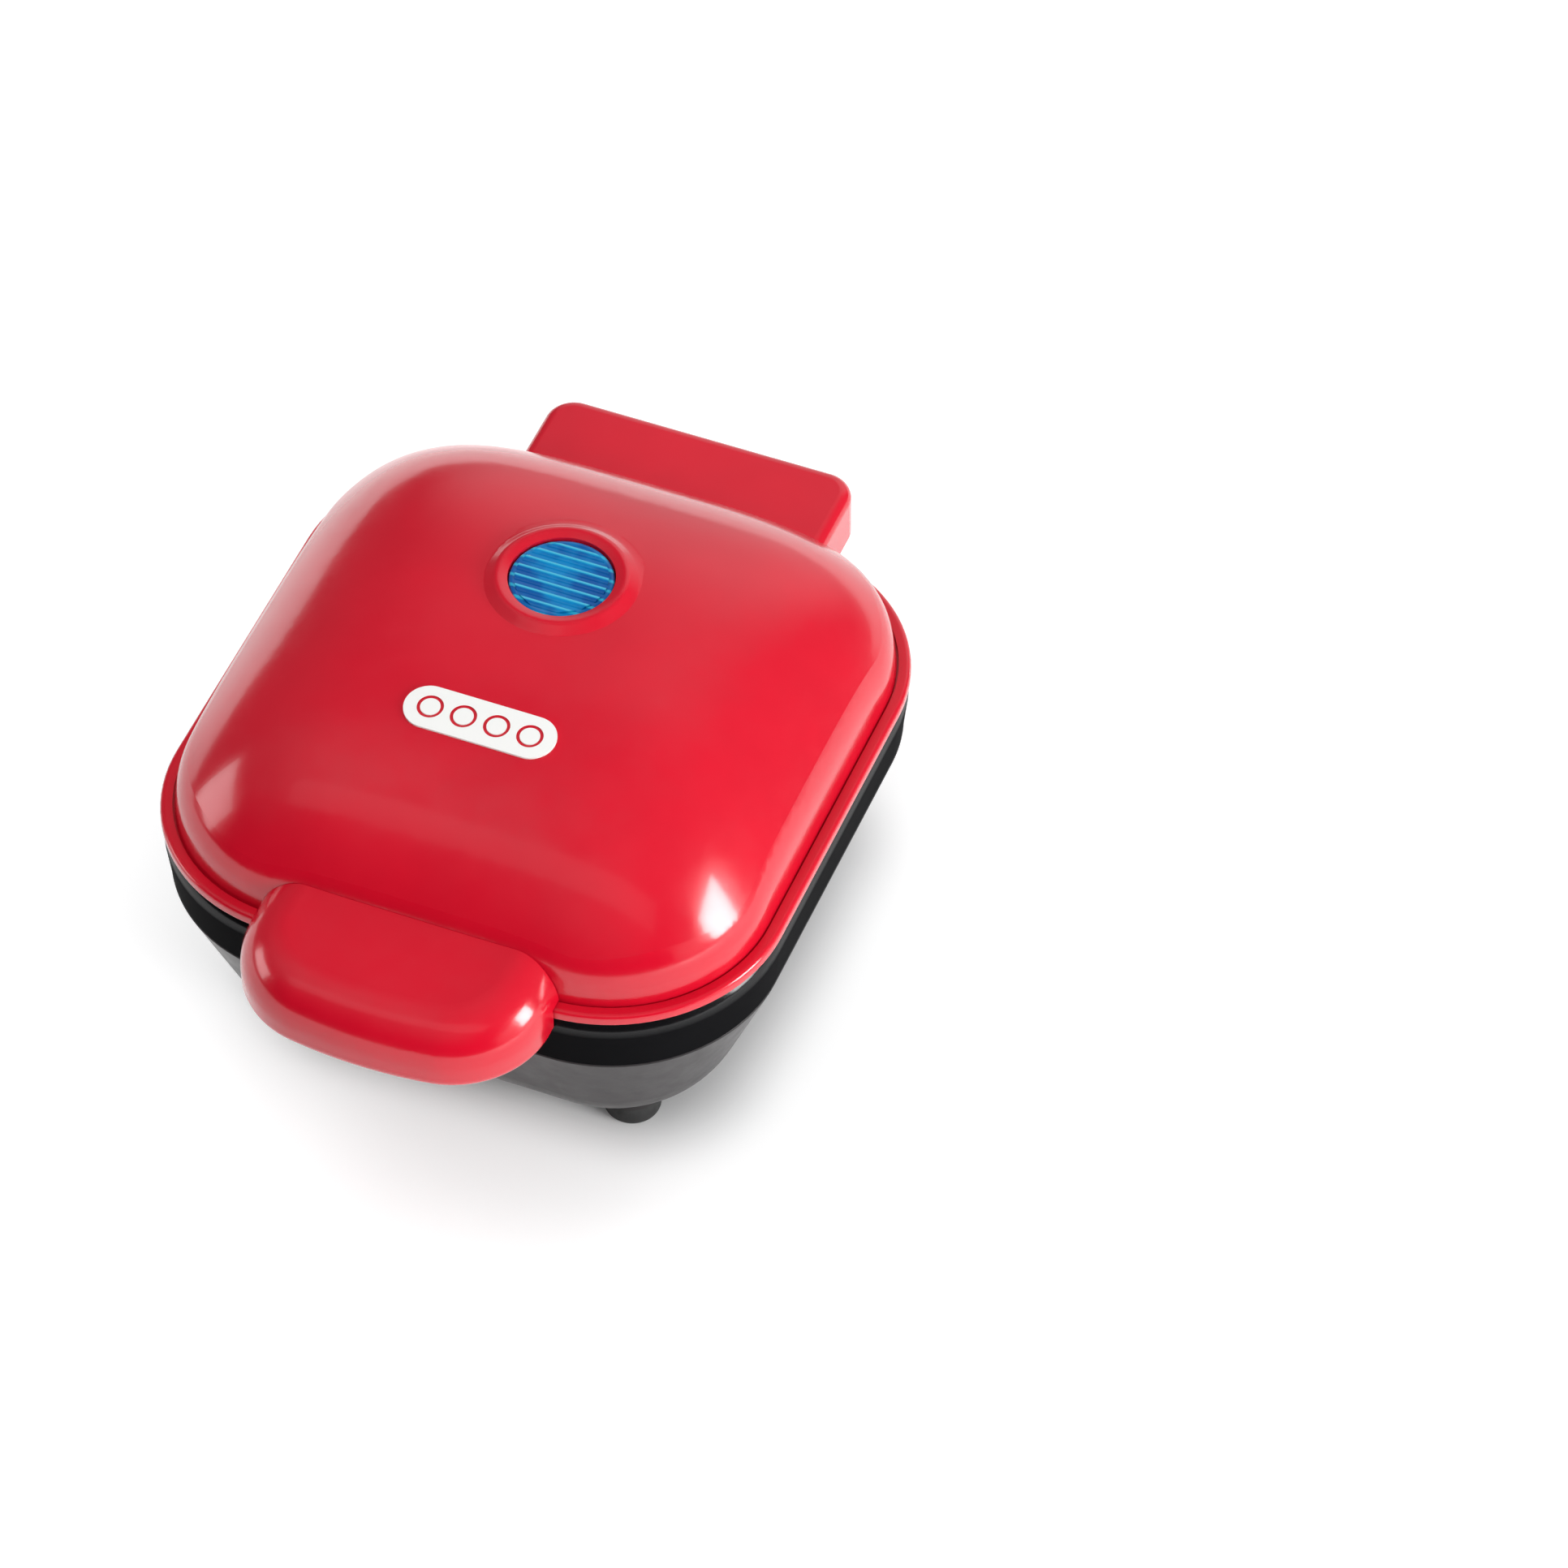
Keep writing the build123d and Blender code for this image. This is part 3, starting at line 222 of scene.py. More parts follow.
def smooth(piece, angle=40.0, weighted=True):
    """Smooth shading that keeps sharp edges and flat faces."""
    alone(piece)
    bpy.ops.object.shade_smooth_by_angle(angle=math.radians(angle), keep_sharp_edges=True)
    if weighted:
        modifier = piece.modifiers.new("Weighted Normal", "WEIGHTED_NORMAL")
        modifier.keep_sharp = True
        modifier.weight = 60
        bpy.ops.object.modifier_apply(modifier=modifier.name)


def turned(name, centre, profile, segments=96):
    """Round form about an upright axis: a disc carried through its profile of (radius, height)."""
    bpy.ops.object.select_all(action="DESELECT")
    bpy.ops.mesh.primitive_circle_add(vertices=segments, radius=profile[0][0], fill_type="NGON",
                                      location=(*centre, profile[0][1]))
    piece = adopt(name)
    settle(piece)
    edit(piece)
    bpy.ops.mesh.select_all(action="SELECT")
    for (radius, height), (next_radius, next_height) in zip(profile, profile[1:]):
        bpy.ops.mesh.extrude_region_move(TRANSFORM_OT_translate={"value": (0, 0, next_height - height)})
        share = next_radius / radius
        bpy.ops.transform.resize(value=(share, share, 1), center_override=(*centre, next_height))
    bpy.ops.mesh.select_all(action="SELECT")
    bpy.ops.mesh.normals_make_consistent(inside=False)
    close_edit()
    return piece


# ---------------------------------------------------------------- finishes
class Finish:
    """A material under construction: its nodes, links and shader."""

    def __init__(self, name):
        self.material = bpy.data.materials.new(name)
        self.material.use_nodes = True
        self.nodes = self.material.node_tree.nodes
        self.links = self.material.node_tree.links
        self.shader = self.nodes["Principled BSDF"]
        self.place = self.add("ShaderNodeTexCoord").outputs["Object"]
        self.bumps = None

    def add(self, kind, **values):
        node = self.nodes.new(kind)
        for key, value in values.items():
            if hasattr(node, key):
                setattr(node, key, value)
            else:
                node.inputs[key].default_value = value
        return node

    def set(self, **values):
        """Sets the shader's own sockets, for what is the same all over."""
        for key, value in values.items():
            self.shader.inputs[key.replace("_", " ").title().replace("Ior", "IOR")].default_value = value

    def noise(self, scale, detail=2.0, roughness=0.5, stretch=(1, 1, 1)):
        """Noise in the piece's own place, scale in features per metre."""
        mapping = self.add("ShaderNodeMapping")
        mapping.inputs["Scale"].default_value = stretch
        self.links.new(self.place, mapping.inputs["Vector"])
        noise = self.add("ShaderNodeTexNoise")
        noise.inputs["Scale"].default_value = scale
        noise.inputs["Detail"].default_value = detail
        noise.inputs["Roughness"].default_value = roughness
        self.links.new(mapping.outputs["Vector"], noise.inputs["Vector"])
        return noise.outputs["Fac"]

    def spread(self, factor, low, high, low_at=0.35, high_at=0.65):
        """Takes a factor to a range of numbers."""
        ranged = self.add("ShaderNodeMapRange")
        ranged.inputs["From Min"].default_value = low_at
        ranged.inputs["From Max"].default_value = high_at
        ranged.inputs["To Min"].default_value = low
        ranged.inputs["To Max"].default_value = high
        self.links.new(factor, ranged.inputs["Value"])
        return ranged.outputs["Result"]

    def tint(self, factor, first, second):
        """Mixes two colours by a factor and gives the result to the base colour."""
        mix = self.add("ShaderNodeMix", data_type="RGBA")
        mix.inputs["A"].default_value = (*first, 1)
        mix.inputs["B"].default_value = (*second, 1)
        self.links.new(factor, mix.inputs["Factor"])
        self.links.new(mix.outputs["Result"], self.shader.inputs["Base Color"])
        return mix.outputs["Result"]

    def maths(self, operation, value, *others):
        """One sum on a factor and on numbers or further factors."""
        node = self.add("ShaderNodeMath", operation=operation)
        self.links.new(value, node.inputs[0])
        for index, other in enumerate(others, 1):
            if isinstance(other, float):
                node.inputs[index].default_value = other
            else:
                self.links.new(other, node.inputs[index])
        return node.outputs["Value"]

    def rough(self, factor, low, high):
        self.links.new(self.spread(factor, low, high), self.shader.inputs["Roughness"])

    def bump(self, factor, depth, strength=1.0):
        """Adds relief of this depth in metres; calls add up."""
        bump = self.add("ShaderNodeBump")
        bump.inputs["Strength"].default_value = strength
        bump.inputs["Distance"].default_value = depth
        self.links.new(factor, bump.inputs["Height"])
        if self.bumps:
            self.links.new(self.bumps, bump.inputs["Normal"])
        self.bumps = bump.outputs["Normal"]
        self.links.new(self.bumps, self.shader.inputs["Normal"])


def shade(base, share):
    """A colour made darker or lighter by a share."""
    return tuple(min(1.0, channel * share) for channel in base)


def gloss_plastic(name, base, roughness=(0.17, 0.23), coat=0.3, shine=0.5):
    """Polished moulded plastic: slight depth of colour, a faint ripple and fine handling marks."""
    finish = Finish(name)
    finish.tint(finish.spread(finish.noise(22, 3), 0.0, 1.0), shade(base, 0.95), shade(base, 1.05))
    finish.rough(finish.noise(140, 5, 0.65), *roughness)
    finish.bump(finish.noise(75, 1), 0.00006, 0.4)
    finish.bump(finish.noise(2600, 2), 0.00002, 0.3)
    finish.set(ior=1.5, coat_weight=coat, coat_roughness=0.07, specular_ior_level=shine)
    return finish.material


def collar_plastic(name, base, band_top):
    """Black plastic, polished on its rounded shoulder and matt on the band below it."""
    finish = Finish(name)
    split = finish.add("ShaderNodeSeparateXYZ")
    finish.links.new(finish.place, split.inputs["Vector"])
    polish = finish.spread(split.outputs["Z"], 0.0, 1.0, band_top - 0.0006, band_top + 0.0012)
    finish.tint(finish.noise(60, 3), base, shade(base, 1.6))
    for socket, band, shoulder in (("Roughness", 0.75, 0.16), ("Specular IOR Level", 0.02, 0.3)):
        finish.links.new(finish.spread(polish, band, shoulder, 0.0, 1.0), finish.shader.inputs[socket])
    finish.bump(finish.noise(2600, 2), 0.00002, 0.3)
    finish.set(ior=1.5)
    return finish.material


def nonstick(name, base):
    """Sprayed nonstick coating: dark, satin, with fine pale flecks and an orange-peel skin."""
    finish = Finish(name)
    flecks = finish.spread(finish.noise(2300, 0, 0.5), 0.0, 1.0, 0.66, 0.72)
    finish.tint(flecks, base, shade(base, 4.2))
    finish.rough(finish.noise(160, 4), 0.34, 0.48)
    finish.bump(finish.noise(1500, 2), 0.00004, 0.6)
    finish.set(coat_weight=0.25, coat_roughness=0.3)
    return finish.material


def steel(name, base, roughness=(0.22, 0.38), grain=(1, 1, 14)):
    """Drawn or turned steel: grain along one way, faint stains."""
    finish = Finish(name)
    finish.tint(finish.noise(500, 3), shade(base, 0.86), base)
    finish.rough(finish.noise(900, 4, 0.6, stretch=grain), *roughness)
    finish.bump(finish.noise(2600, 2, stretch=grain), 0.00001, 0.5)
    finish.set(metallic=1.0)
    return finish.material


def rubber(name, base, roughness=(0.62, 0.8)):
    """Matt rubber with a fine moulded grain and a little bloom."""
    finish = Finish(name)
    finish.tint(finish.noise(90, 4), base, tuple(channel + 0.012 for channel in base))
    finish.rough(finish.noise(400, 4), *roughness)
    finish.bump(finish.noise(3200, 2), 0.00005, 0.5)
    return finish.material


def silicone(name, base):
    """Soft silicone: satin, a little light passes in at the thin rims."""
    finish = Finish(name)
    finish.tint(finish.noise(60, 3), shade(base, 0.9), shade(base, 1.08))
    finish.rough(finish.noise(260, 4), 0.42, 0.55)
    finish.bump(finish.noise(1800, 2), 0.00003, 0.5)
    finish.set(subsurface_weight=0.12, subsurface_scale=0.002, sheen_weight=0.12)
    return finish.material


def satin_plastic(name, base):
    """Satin moulded plastic."""
    finish = Finish(name)
    finish.tint(finish.noise(120, 3), shade(base, 0.95), base)
    finish.rough(finish.noise(500, 4), 0.3, 0.42)
    finish.bump(finish.noise(2800, 2), 0.00002, 0.5)
    finish.set(ior=1.5)
    return finish.material


def badge_plastic(name, base, line, centre):
    """Satin plastic with the grooves of its four rings in another colour."""
    finish = Finish(name)
    split = finish.add("ShaderNodeSeparateXYZ")
    finish.links.new(finish.place, split.inputs["Vector"])
    s = sizes()
    half, reach = s.ring_pitch / 2, 1.95 * s.ring_pitch
    along = finish.maths("SUBTRACT", split.outputs["X"], centre[0])
    along = finish.maths("MAXIMUM", finish.maths("MINIMUM", along, reach), -reach)
    along = finish.maths("WRAP", finish.maths("ADD", along, half), half, -half)
    across = finish.maths("SUBTRACT", split.outputs["Y"], centre[1])
    away = finish.maths("SQRT", finish.maths("ADD", finish.maths("MULTIPLY", along, along),
                                             finish.maths("MULTIPLY", across, across)))
    ring = finish.maths("COMPARE", away, s.ring_radius - s.ring_line / 2, s.ring_line / 2)
    finish.tint(ring, base, line)
    finish.rough(finish.noise(500, 4), 0.3, 0.42)
    finish.set(ior=1.5)
    return finish.material


def woven_sleeve(name, base):
    """Heat-resistant sleeve of braided glass yarn."""
    finish = Finish(name)
    weave = finish.add("ShaderNodeTexChecker")
    weave.inputs["Scale"].default_value = 1800
    finish.links.new(finish.place, weave.inputs["Vector"])
    finish.tint(finish.spread(weave.outputs["Fac"], 0.0, 1.0, 0.0, 1.0), shade(base, 0.78), base)
    finish.rough(finish.noise(700, 3), 0.7, 0.9)
    finish.bump(weave.outputs["Fac"], 0.0001, 0.5)
    return finish.material


def ribbed_lens(name, base, middle_y):
    """Clear blue lens with a painted glow in uneven patches, as if lit from below, and a painted highlight in bright
    cyan along the crests of its ribs.
    """
    finish = Finish(name)
    split = finish.add("ShaderNodeSeparateXYZ")
    finish.links.new(finish.place, split.inputs["Vector"])
    s = sizes()
    per_metre = 2 * math.pi / s.rib_pitch
    # painted highlight: a stripe of brighter cyan along each rib's crest
    across = finish.maths("MULTIPLY_ADD", split.outputs["Y"], per_metre, -per_metre * (middle_y + s.rib_glint))
    crest_highlight = finish.spread(finish.maths("COSINE", across), 0.0, 1.0, 0.35, 0.98)
    # painted glow: patches of the lens's colour lifted as if the lamp shone through
    painted_glow = finish.add("ShaderNodeMix", data_type="RGBA")
    painted_glow.inputs["A"].default_value = (*base, 1)
    painted_glow.inputs["B"].default_value = (*colours().lens_painted_glow, 1)
    finish.links.new(finish.spread(finish.noise(120, 2), 0.0, 1.0, 0.40, 0.62), painted_glow.inputs["Factor"])
    ribs = finish.tint(crest_highlight, base, colours().lens_crest_highlight).node
    finish.links.new(painted_glow.outputs["Result"], ribs.inputs["A"])
    finish.rough(finish.noise(300, 3), 0.04, 0.09)
    finish.bump(finish.noise(500, 2), 0.00001, 0.4)
    finish.set(ior=1.49, coat_weight=0.4, coat_roughness=0.02)
    return finish.material


def clear_glass(name):
    """Thin lamp glass."""
    finish = Finish(name)
    finish.tint(finish.noise(300, 2), (0.95, 0.86, 0.8), (1.0, 0.93, 0.88))
    finish.rough(finish.noise(500, 3), 0.02, 0.06)
    finish.set(ior=1.45, transmission_weight=0.9)
    return finish.material


def ceramic(name):
    """Unglazed white ceramic."""
    finish = Finish(name)
    finish.tint(finish.noise(300, 4), (0.78, 0.75, 0.68), (0.88, 0.86, 0.8))
    finish.rough(finish.noise(800, 4), 0.5, 0.7)
    finish.bump(finish.noise(2400, 3), 0.00004, 0.6)
    return finish.material


def paint(piece, material):
    """Gives the whole piece one finish."""
    slots = piece.material_slots
    if not slots:
        piece.data.materials.append(material)
    for slot in slots:
        slot.material = material


def dress(names, material):
    """Gives carried-over nodes their finish."""
    for name in names:
        paint(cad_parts[name], material)


def seat(piece, body, slot_name, material, *nodes):
    """Last step of a piece: place in the mesh, finish, body and the nodes it stands for; slot_name is not used."""
    settle(piece)
    paint(piece, material)
    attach(piece, body)
    if nodes:
        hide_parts(*nodes)


# ---------------------------------------------------------------- pieces, carried parts and the studio
def lens_ribs(centre, radius, face):
    """Row of round-backed bars across the lens, trimmed to a circle inside its rim."""
    s = sizes()
    side = s.rib_pitch * (s.rib_count - 1) / 2
    bpy.ops.object.select_all(action="DESELECT")
    bpy.ops.mesh.primitive_cylinder_add(vertices=40, radius=s.rib_radius, depth=2.2 * radius,
                                        location=(centre[0], centre[1] - side, face - s.rib_radius),
                                        rotation=(0, math.pi / 2, 0))
    ribs = adopt("lens_ribs")
    settle(ribs)
    row = ribs.modifiers.new("Row", "ARRAY")
    row.count = s.rib_count
    row.use_relative_offset = False
    row.use_constant_offset = True
    row.constant_offset_displace = (0, s.rib_pitch, 0)
    apply_all(ribs)
    trim = radius - 1.4 * MM
    boolean(ribs, turned("lens_rim", centre, [(trim, face - 5 * MM), (trim, face + MM)]), "INTERSECT")
    return ribs


class COOKER_OT_indicator_lens(Operator):
    """Clear blue lens of the indicator light, with seven ribs across it"""
    bl_idname = "cooker.indicator_lens"
    bl_label = "Indicator lens"

    def execute(self, context):
        low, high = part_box("indicator_lens")
        face, radius = high[2], (high[0] - low[0]) / 2
        centre = middle_of(low, high)
        bed = face - sizes().lens_bed
        lens = turned("lens", centre, [(radius * 0.88, low[2]), (radius, low[2]), (radius, bed - 0.5 * MM),
                                       (radius - 0.2 * MM, bed - 0.15 * MM), (radius - 0.6 * MM, bed),
                                       (radius - 1.2 * MM, bed - 0.1 * MM)])
        boolean(lens, lens_ribs(centre, radius, face), "UNION")
        smooth(lens, weighted=False)
        seat(lens, "lid", "blue_lens", ribbed_lens("ribbed blue lens", colours().lens, centre[1]), "indicator_lens")
        return {"FINISHED"}


def cup_profile(bottom, top):
    """The cup's outside, its rolled rim and its inside, as (radius, height) in order."""
    s = sizes()
    mouth, foot, wall = s.cup_mouth, s.cup_mouth - s.cup_taper, s.cup_wall
    flange = mouth + s.cup_flange
    outside = [(foot - 2.4 * MM, bottom), (foot - 1.2 * MM, bottom + 0.3 * MM),
               (foot - 0.3 * MM, bottom + 1.1 * MM), (foot + 0.15 * MM, bottom + 2.5 * MM),
               (mouth + wall - 0.5 * MM, top - 4.0 * MM), (mouth + wall - 0.15 * MM, top - 2.0 * MM)]
    rim = [(flange - 0.3 * MM, top - 1.6 * MM), (flange, top - 1.25 * MM), (flange, top - 0.4 * MM),
           (flange - 0.2 * MM, top - 0.1 * MM), (flange - 0.55 * MM, top), (mouth + 0.9 * MM, top),
           (mouth + 0.3 * MM, top - 0.15 * MM), (mouth, top - 0.8 * MM)]
    floor, edge = bottom + wall, foot - wall
    inside = [(mouth - 0.25 * MM, top - 3.0 * MM), (edge + 0.3 * MM, floor + 3.6 * MM),
              (edge - 0.4 * MM, floor + 1.3 * MM), (edge - 1.6 * MM, floor + 0.3 * MM), (edge - 3.2 * MM, floor)]
    return outside + rim + inside


def pull_tab(cup, centre, towards, top):
    """Draws the faces of the rim that look towards this direction out into a tab with an eased tip."""
    s = sizes()
    flange = s.cup_mouth + s.cup_flange
    spread = math.cos(math.asin(s.tab_half_width / flange))
    tip_length = 1.25 * MM

    def at_tab(face):
        arm = face.calc_center_median() - Vector((*centre, 0))
        height = arm.z
        arm.z = 0
        return (arm.length > flange - 0.4 * MM and top - 1.62 * MM < height < top - 0.04 * MM
                and arm.normalized().dot(towards) > spread)

    edit(cup)
    if not pick_faces(cup, at_tab):
        raise RuntimeError("the cup has no rim where its tab belongs")
    for reach in (s.tab_length - 1.3 * MM, tip_length):
        bpy.ops.mesh.extrude_region_move(TRANSFORM_OT_translate={"value": towards * reach})
    tip = Vector((*centre, top - 0.8 * MM)) + towards * (flange + s.tab_length)
    bpy.ops.transform.resize(value=(0.66, 0.66, 0.7), center_override=tip)
    close_edit()


def mirrored_copy(piece, name, flip):
    """A copy with its own mesh, mirrored about the lid's middle."""
    alone(piece)
    bpy.ops.object.duplicate()
    copy = adopt(name)
    edit(copy)
    bpy.ops.mesh.select_all(action="SELECT")
    bpy.ops.transform.resize(value=flip, center_override=(0, MIDDLE_Y, 0))
    bpy.ops.mesh.normals_make_consistent(inside=False)
    close_edit()
    return copy


class COOKER_OT_egg_cups(Operator):
    """Four soft silicone cups with rolled rims and pull tabs: one is modelled, the others are its mirrored copies"""
    bl_idname = "cooker.egg_cups"
    bl_label = "Egg cups"

    def execute(self, context):
        s = sizes()
        low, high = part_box("egg_cup_front_left")
        flange = s.cup_mouth + s.cup_flange
        centre = (low[0] + flange, low[1] + flange)
        cup = turned("silicone_cup_front_left", centre, cup_profile(low[2], high[2]), segments=112)
        towards = Vector((-centre[0], MIDDLE_Y - centre[1], 0)).normalized()
        pull_tab(cup, centre, towards, high[2])
        smooth(cup)
        finish = silicone("red silicone", colours().silicone)
        cups = {"front_left": cup}
        for corner, flip in (("front_right", (-1, 1, 1)), ("rear_left", (1, -1, 1)), ("rear_right", (-1, -1, 1))):
            cups[corner] = mirrored_copy(cup, "silicone_cup_" + corner, flip)
        for corner, piece in cups.items():
            seat(piece, "egg_cup_" + corner, "silicone_red", finish, "egg_cup_" + corner)
        return {"FINISHED"}


class COOKER_OT_carried_nodes(Operator):
    """Gives every carried-over node of the cooker its finish"""
    bl_idname = "cooker.carried_nodes"
    bl_label = "Carried-over parts"

    def execute(self, context):
        c = colours()
        red = gloss_plastic("glossy red plastic", c.red)
        black = collar_plastic("glossy black plastic", c.black, sizes().band_top)
        bowl = gloss_plastic("satin dark plastic", c.bowl, roughness=(0.28, 0.36), coat=0.0, shine=0.15)
        coating = nonstick("nonstick coating", c.coating)
        screws = steel("zinc-plated steel", c.steel)
        heater = steel("heat-tinted steel", c.heated, roughness=(0.35, 0.5), grain=(1, 1, 1))
        sheet = steel("bright aluminium sheet", c.aluminium, roughness=(0.2, 0.34), grain=(1, 18, 1))
        matt = rubber("matt black rubber", c.rubber)
        white = satin_plastic("satin white plastic", c.white)
        dress(["lid_cover", "lid_frame", "handle", "handle_cover", "hinge_plug"], red)
        dress(["base_collar"], black)
        dress(["base_shell"], bowl)
        dress(["lid_plate", "water_tray"], coating)
        dress(["handle_screws", "lid_plate_screws", "lid_screws", "base_screws", "hinge_pin", "heater_terminals",
               "thermal_fuse"], screws)
        dress(["heating_element", "thermostat"], heater)
        dress(["element_clamps", "heat_shield", "fuse_clip"], sheet)
        dress(["cord_gland"] + [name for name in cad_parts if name.startswith("foot_")], matt)
        dress(["lamp_socket"], white)
        dress(["badge"], badge_plastic("badge plastic", c.white, c.red, middle_of(*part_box("badge"))))
        dress(["lamp_lead"], rubber("black sleeve", c.sleeve, roughness=(0.4, 0.55)))
        dress(["supply_leads", "heater_leads"], woven_sleeve("braided sleeve", c.braid))
        dress(["terminal_block"], ceramic("white ceramic"))
        dress(["neon_lamp"], clear_glass("lamp glass"))
        return {"FINISHED"}


class COOKER_OT_studio(Operator):
    """Pale floor, soft lights and the camera at the photograph's angle"""
    bl_idname = "cooker.studio"
    bl_label = "Studio"

    def execute(self, context):
        stand_camera(context.scene)
        bpy.ops.object.select_all(action="DESELECT")
        bpy.ops.mesh.primitive_plane_add(size=12, location=(0, 0, 0))
        floor = adopt("floor")
        settle(floor)
        paint(floor, paper_floor())
        for lamp in FILL_LAMPS:
            soft_light(*lamp).visible_glossy = False
        for lamp in GLOSS_LAMPS:
            soft_light(*lamp).visible_diffuse = False
        context.scene.world = studio_sky()
        context.scene.view_settings.view_transform = "Standard"
        return {"FINISHED"}


def stand_camera(scene):
    """The camera that was fitted to the photograph."""
    flat = math.cos(CAMERA_ELEVATION)
    back = Vector((math.sin(CAMERA_AZIMUTH) * flat, -math.cos(CAMERA_AZIMUTH) * flat, math.sin(CAMERA_ELEVATION)))
    bpy.ops.object.select_all(action="DESELECT")
    bpy.ops.object.camera_add(location=CAMERA_TARGET + back * CAMERA_DISTANCE)
    camera = bpy.context.active_object
    camera.name = "Camera"
    camera.rotation_mode = "QUATERNION"
    camera.rotation_quaternion = (-back).to_track_quat("-Z", "Y")
    camera.data.sensor_width = 36
    camera.data.lens = CAMERA_LENS
    camera.data.clip_end = 20
    scene.camera = camera


def studio_sky():
    """Soft glows behind, above and beside the cooker, and white where the camera looks past the floor."""
    world = bpy.data.worlds.new("studio")
    world.use_nodes = True
    nodes, links = world.node_tree.nodes, world.node_tree.links
    sky = nodes["Background"]
    sky.inputs["Color"].default_value = (0.97, 0.98, 1.0, 1)
    direction = nodes.new("ShaderNodeTexCoord").outputs["Generated"]
    glow = None
    for towards, outer, inner, strength in SKY_LOBES:
        along = nodes.new("ShaderNodeVectorMath")
        along.operation = "DOT_PRODUCT"
        along.inputs[1].default_value = towards
        links.new(direction, along.inputs[0])
        lobe = smooth_range(nodes, links, along.outputs["Value"], outer, inner, 0.0, strength)
        total = nodes.new("ShaderNodeMath")
        total.inputs[1].default_value = SKY_BASE
        links.new(lobe.outputs["Result"], total.inputs[0])
        if glow:
            links.new(glow, total.inputs[1])
        glow = total.outputs["Value"]
    links.new(glow, sky.inputs["Strength"])
    white = nodes.new("ShaderNodeBackground")
    white.inputs["Color"].default_value = (1, 1, 1, 1)
    mix = nodes.new("ShaderNodeMixShader")
    links.new(looked_at(nodes, links, "Is Camera Ray", "Is Transmission Ray"), mix.inputs["Fac"])
    links.new(sky.outputs[0], mix.inputs[1])
    links.new(white.outputs[0], mix.inputs[2])
    links.new(mix.outputs[0], nodes["World Output"].inputs["Surface"])
    return world


def smooth_range(nodes, links, value, start, end, low, high):
    """Eases from low to high while the value goes from start to end."""
    ranged = nodes.new("ShaderNodeMapRange")
    ranged.interpolation_type = "SMOOTHSTEP"
    for socket, number in (("From Min", start), ("From Max", end), ("To Min", low), ("To Max", high)):
        ranged.inputs[socket].default_value = number
    links.new(value, ranged.inputs["Value"])
    return ranged


def looked_at(nodes, links, *kinds):
    """1 for rays of these kinds and 0 for all others."""
    path = nodes.new("ShaderNodeLightPath")
    total = None
    for kind in kinds:
        if total:
            both = nodes.new("ShaderNodeMath")
            both.operation = "MAXIMUM"
            links.new(total, both.inputs[0])
            links.new(path.outputs[kind], both.inputs[1])
            total = both.outputs["Value"]
        else:
            total = path.outputs[kind]
    return total


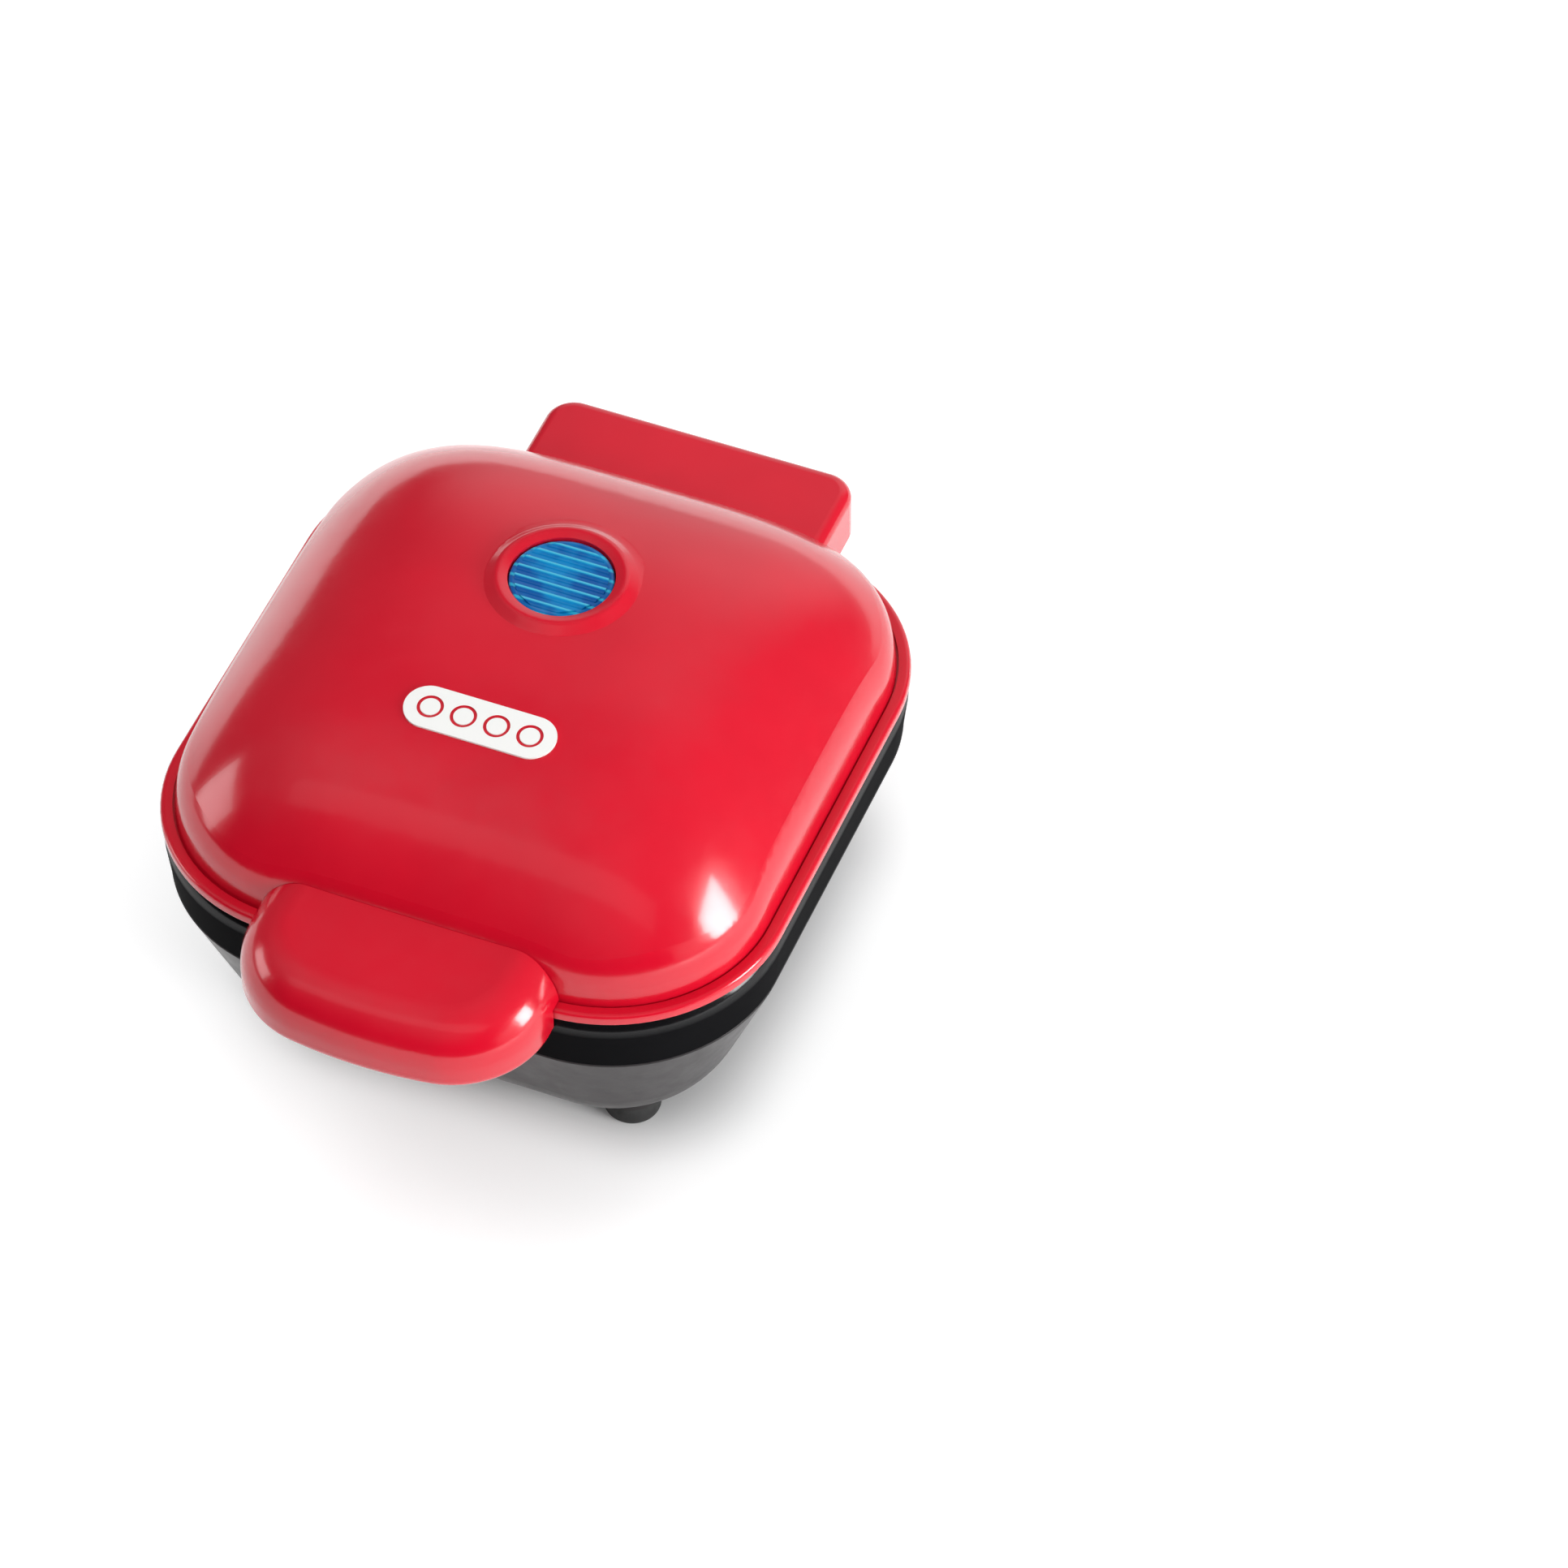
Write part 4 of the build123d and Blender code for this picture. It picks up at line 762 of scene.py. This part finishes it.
def paper_floor():
    """White paper with a painted glow that lifts it to white away from the cooker, with the shadow at its foot kept.
    """
    paper = bpy.data.materials.new("white paper floor")
    paper.use_nodes = True
    nodes, links = paper.node_tree.nodes, paper.node_tree.links
    shader = nodes["Principled BSDF"]
    shader.inputs["Base Color"].default_value = (FLOOR_PALE, FLOOR_PALE, FLOOR_PALE, 1)
    shader.inputs["Roughness"].default_value = 0.9
    shader.inputs["Specular IOR Level"].default_value = 0.1
    away = nodes.new("ShaderNodeTexCoord").outputs["Object"]
    for operation, amount in (("SUBTRACT", SHADOW_MIDDLE), ("ABSOLUTE", None), ("SUBTRACT", SHADOW_HALF),
                              ("MAXIMUM", (0, 0)), ("LENGTH", None)):
        step = nodes.new("ShaderNodeVectorMath")
        step.operation = operation
        links.new(away, step.inputs[0])
        if amount:
            step.inputs[1].default_value = Vector((*amount, 0)) * MM
        away = step.outputs["Value" if operation == "LENGTH" else "Vector"]
    # painted glow on the floor: none at the cooker's foot, rising past the rounded rectangle, to full white far off
    painted_lift = smooth_range(nodes, links, away, SHADOW_FADE[0] * MM, SHADOW_FADE[1] * MM, 0.0, 1.0)
    far = smooth_range(nodes, links, away, *CLEAR_FAR, CLEAR_GLOW, 1.0)
    links.new(far.outputs["Result"], painted_lift.inputs["To Max"])
    seen = nodes.new("ShaderNodeMath")
    seen.operation = "MULTIPLY"
    links.new(painted_lift.outputs["Result"], seen.inputs[0])
    links.new(looked_at(nodes, links, "Is Camera Ray", "Is Glossy Ray", "Is Transmission Ray"), seen.inputs[1])
    glow = nodes.new("ShaderNodeEmission")
    links.new(seen.outputs["Value"], glow.inputs["Strength"])
    both = nodes.new("ShaderNodeAddShader")
    links.new(shader.outputs[0], both.inputs[0])
    links.new(glow.outputs[0], both.inputs[1])
    links.new(both.outputs[0], nodes["Material Output"].inputs["Surface"])
    return paper


def soft_light(name, turn, rise, distance, size, strength):
    """Rectangular soft lamp aimed at the cooker; turn is 0 in front of it and 90 at its right."""
    turn, rise = math.radians(turn), math.radians(rise)
    towards = Vector((math.sin(turn) * math.cos(rise), -math.cos(turn) * math.cos(rise), math.sin(rise)))
    bpy.ops.object.select_all(action="DESELECT")
    bpy.ops.object.light_add(type="AREA", location=CAMERA_TARGET + towards * distance)
    lamp = bpy.context.active_object
    lamp.name = name
    lamp.data.shape = "RECTANGLE"
    lamp.data.size, lamp.data.size_y = size
    lamp.data.energy = strength * math.pi * size[0] * size[1]
    lamp.rotation_mode = "QUATERNION"
    lamp.rotation_quaternion = (-towards).to_track_quat("-Z", "Y")
    return lamp


OPERATORS = (COOKER_OT_carried_nodes, COOKER_OT_indicator_lens, COOKER_OT_egg_cups, COOKER_OT_studio)


class COOKER_PT_panel(Panel):
    """Lists the cooker's pieces in the sidebar"""
    bl_label = "Egg bite maker"
    bl_space_type = "VIEW_3D"
    bl_region_type = "UI"
    bl_category = "Cooker"

    def draw(self, context):
        layout = self.layout
        for operator in OPERATORS:
            layout.operator(operator.bl_idname)
        for group in (context.scene.cooker_sizes, context.scene.cooker_colours):
            box = layout.box()
            for name in group.bl_rna.properties.keys():
                if name not in ("rna_type", "name"):
                    box.prop(group, name)


CLASSES = (CookerSizes, CookerColours, *OPERATORS, COOKER_PT_panel)


def register():
    for cls in CLASSES:
        bpy.utils.register_class(cls)
    bpy.types.Scene.cooker_sizes = PointerProperty(type=CookerSizes)
    bpy.types.Scene.cooker_colours = PointerProperty(type=CookerColours)


def unregister():
    del bpy.types.Scene.cooker_colours
    del bpy.types.Scene.cooker_sizes
    for cls in reversed(CLASSES):
        bpy.utils.unregister_class(cls)


def main():
    """Builds the dressed cooker and its studio."""
    register()
    for operator in OPERATORS:
        group, name = operator.bl_idname.split(".")
        getattr(getattr(bpy.ops, group), name)()


if __name__ == "__main__":
    main()
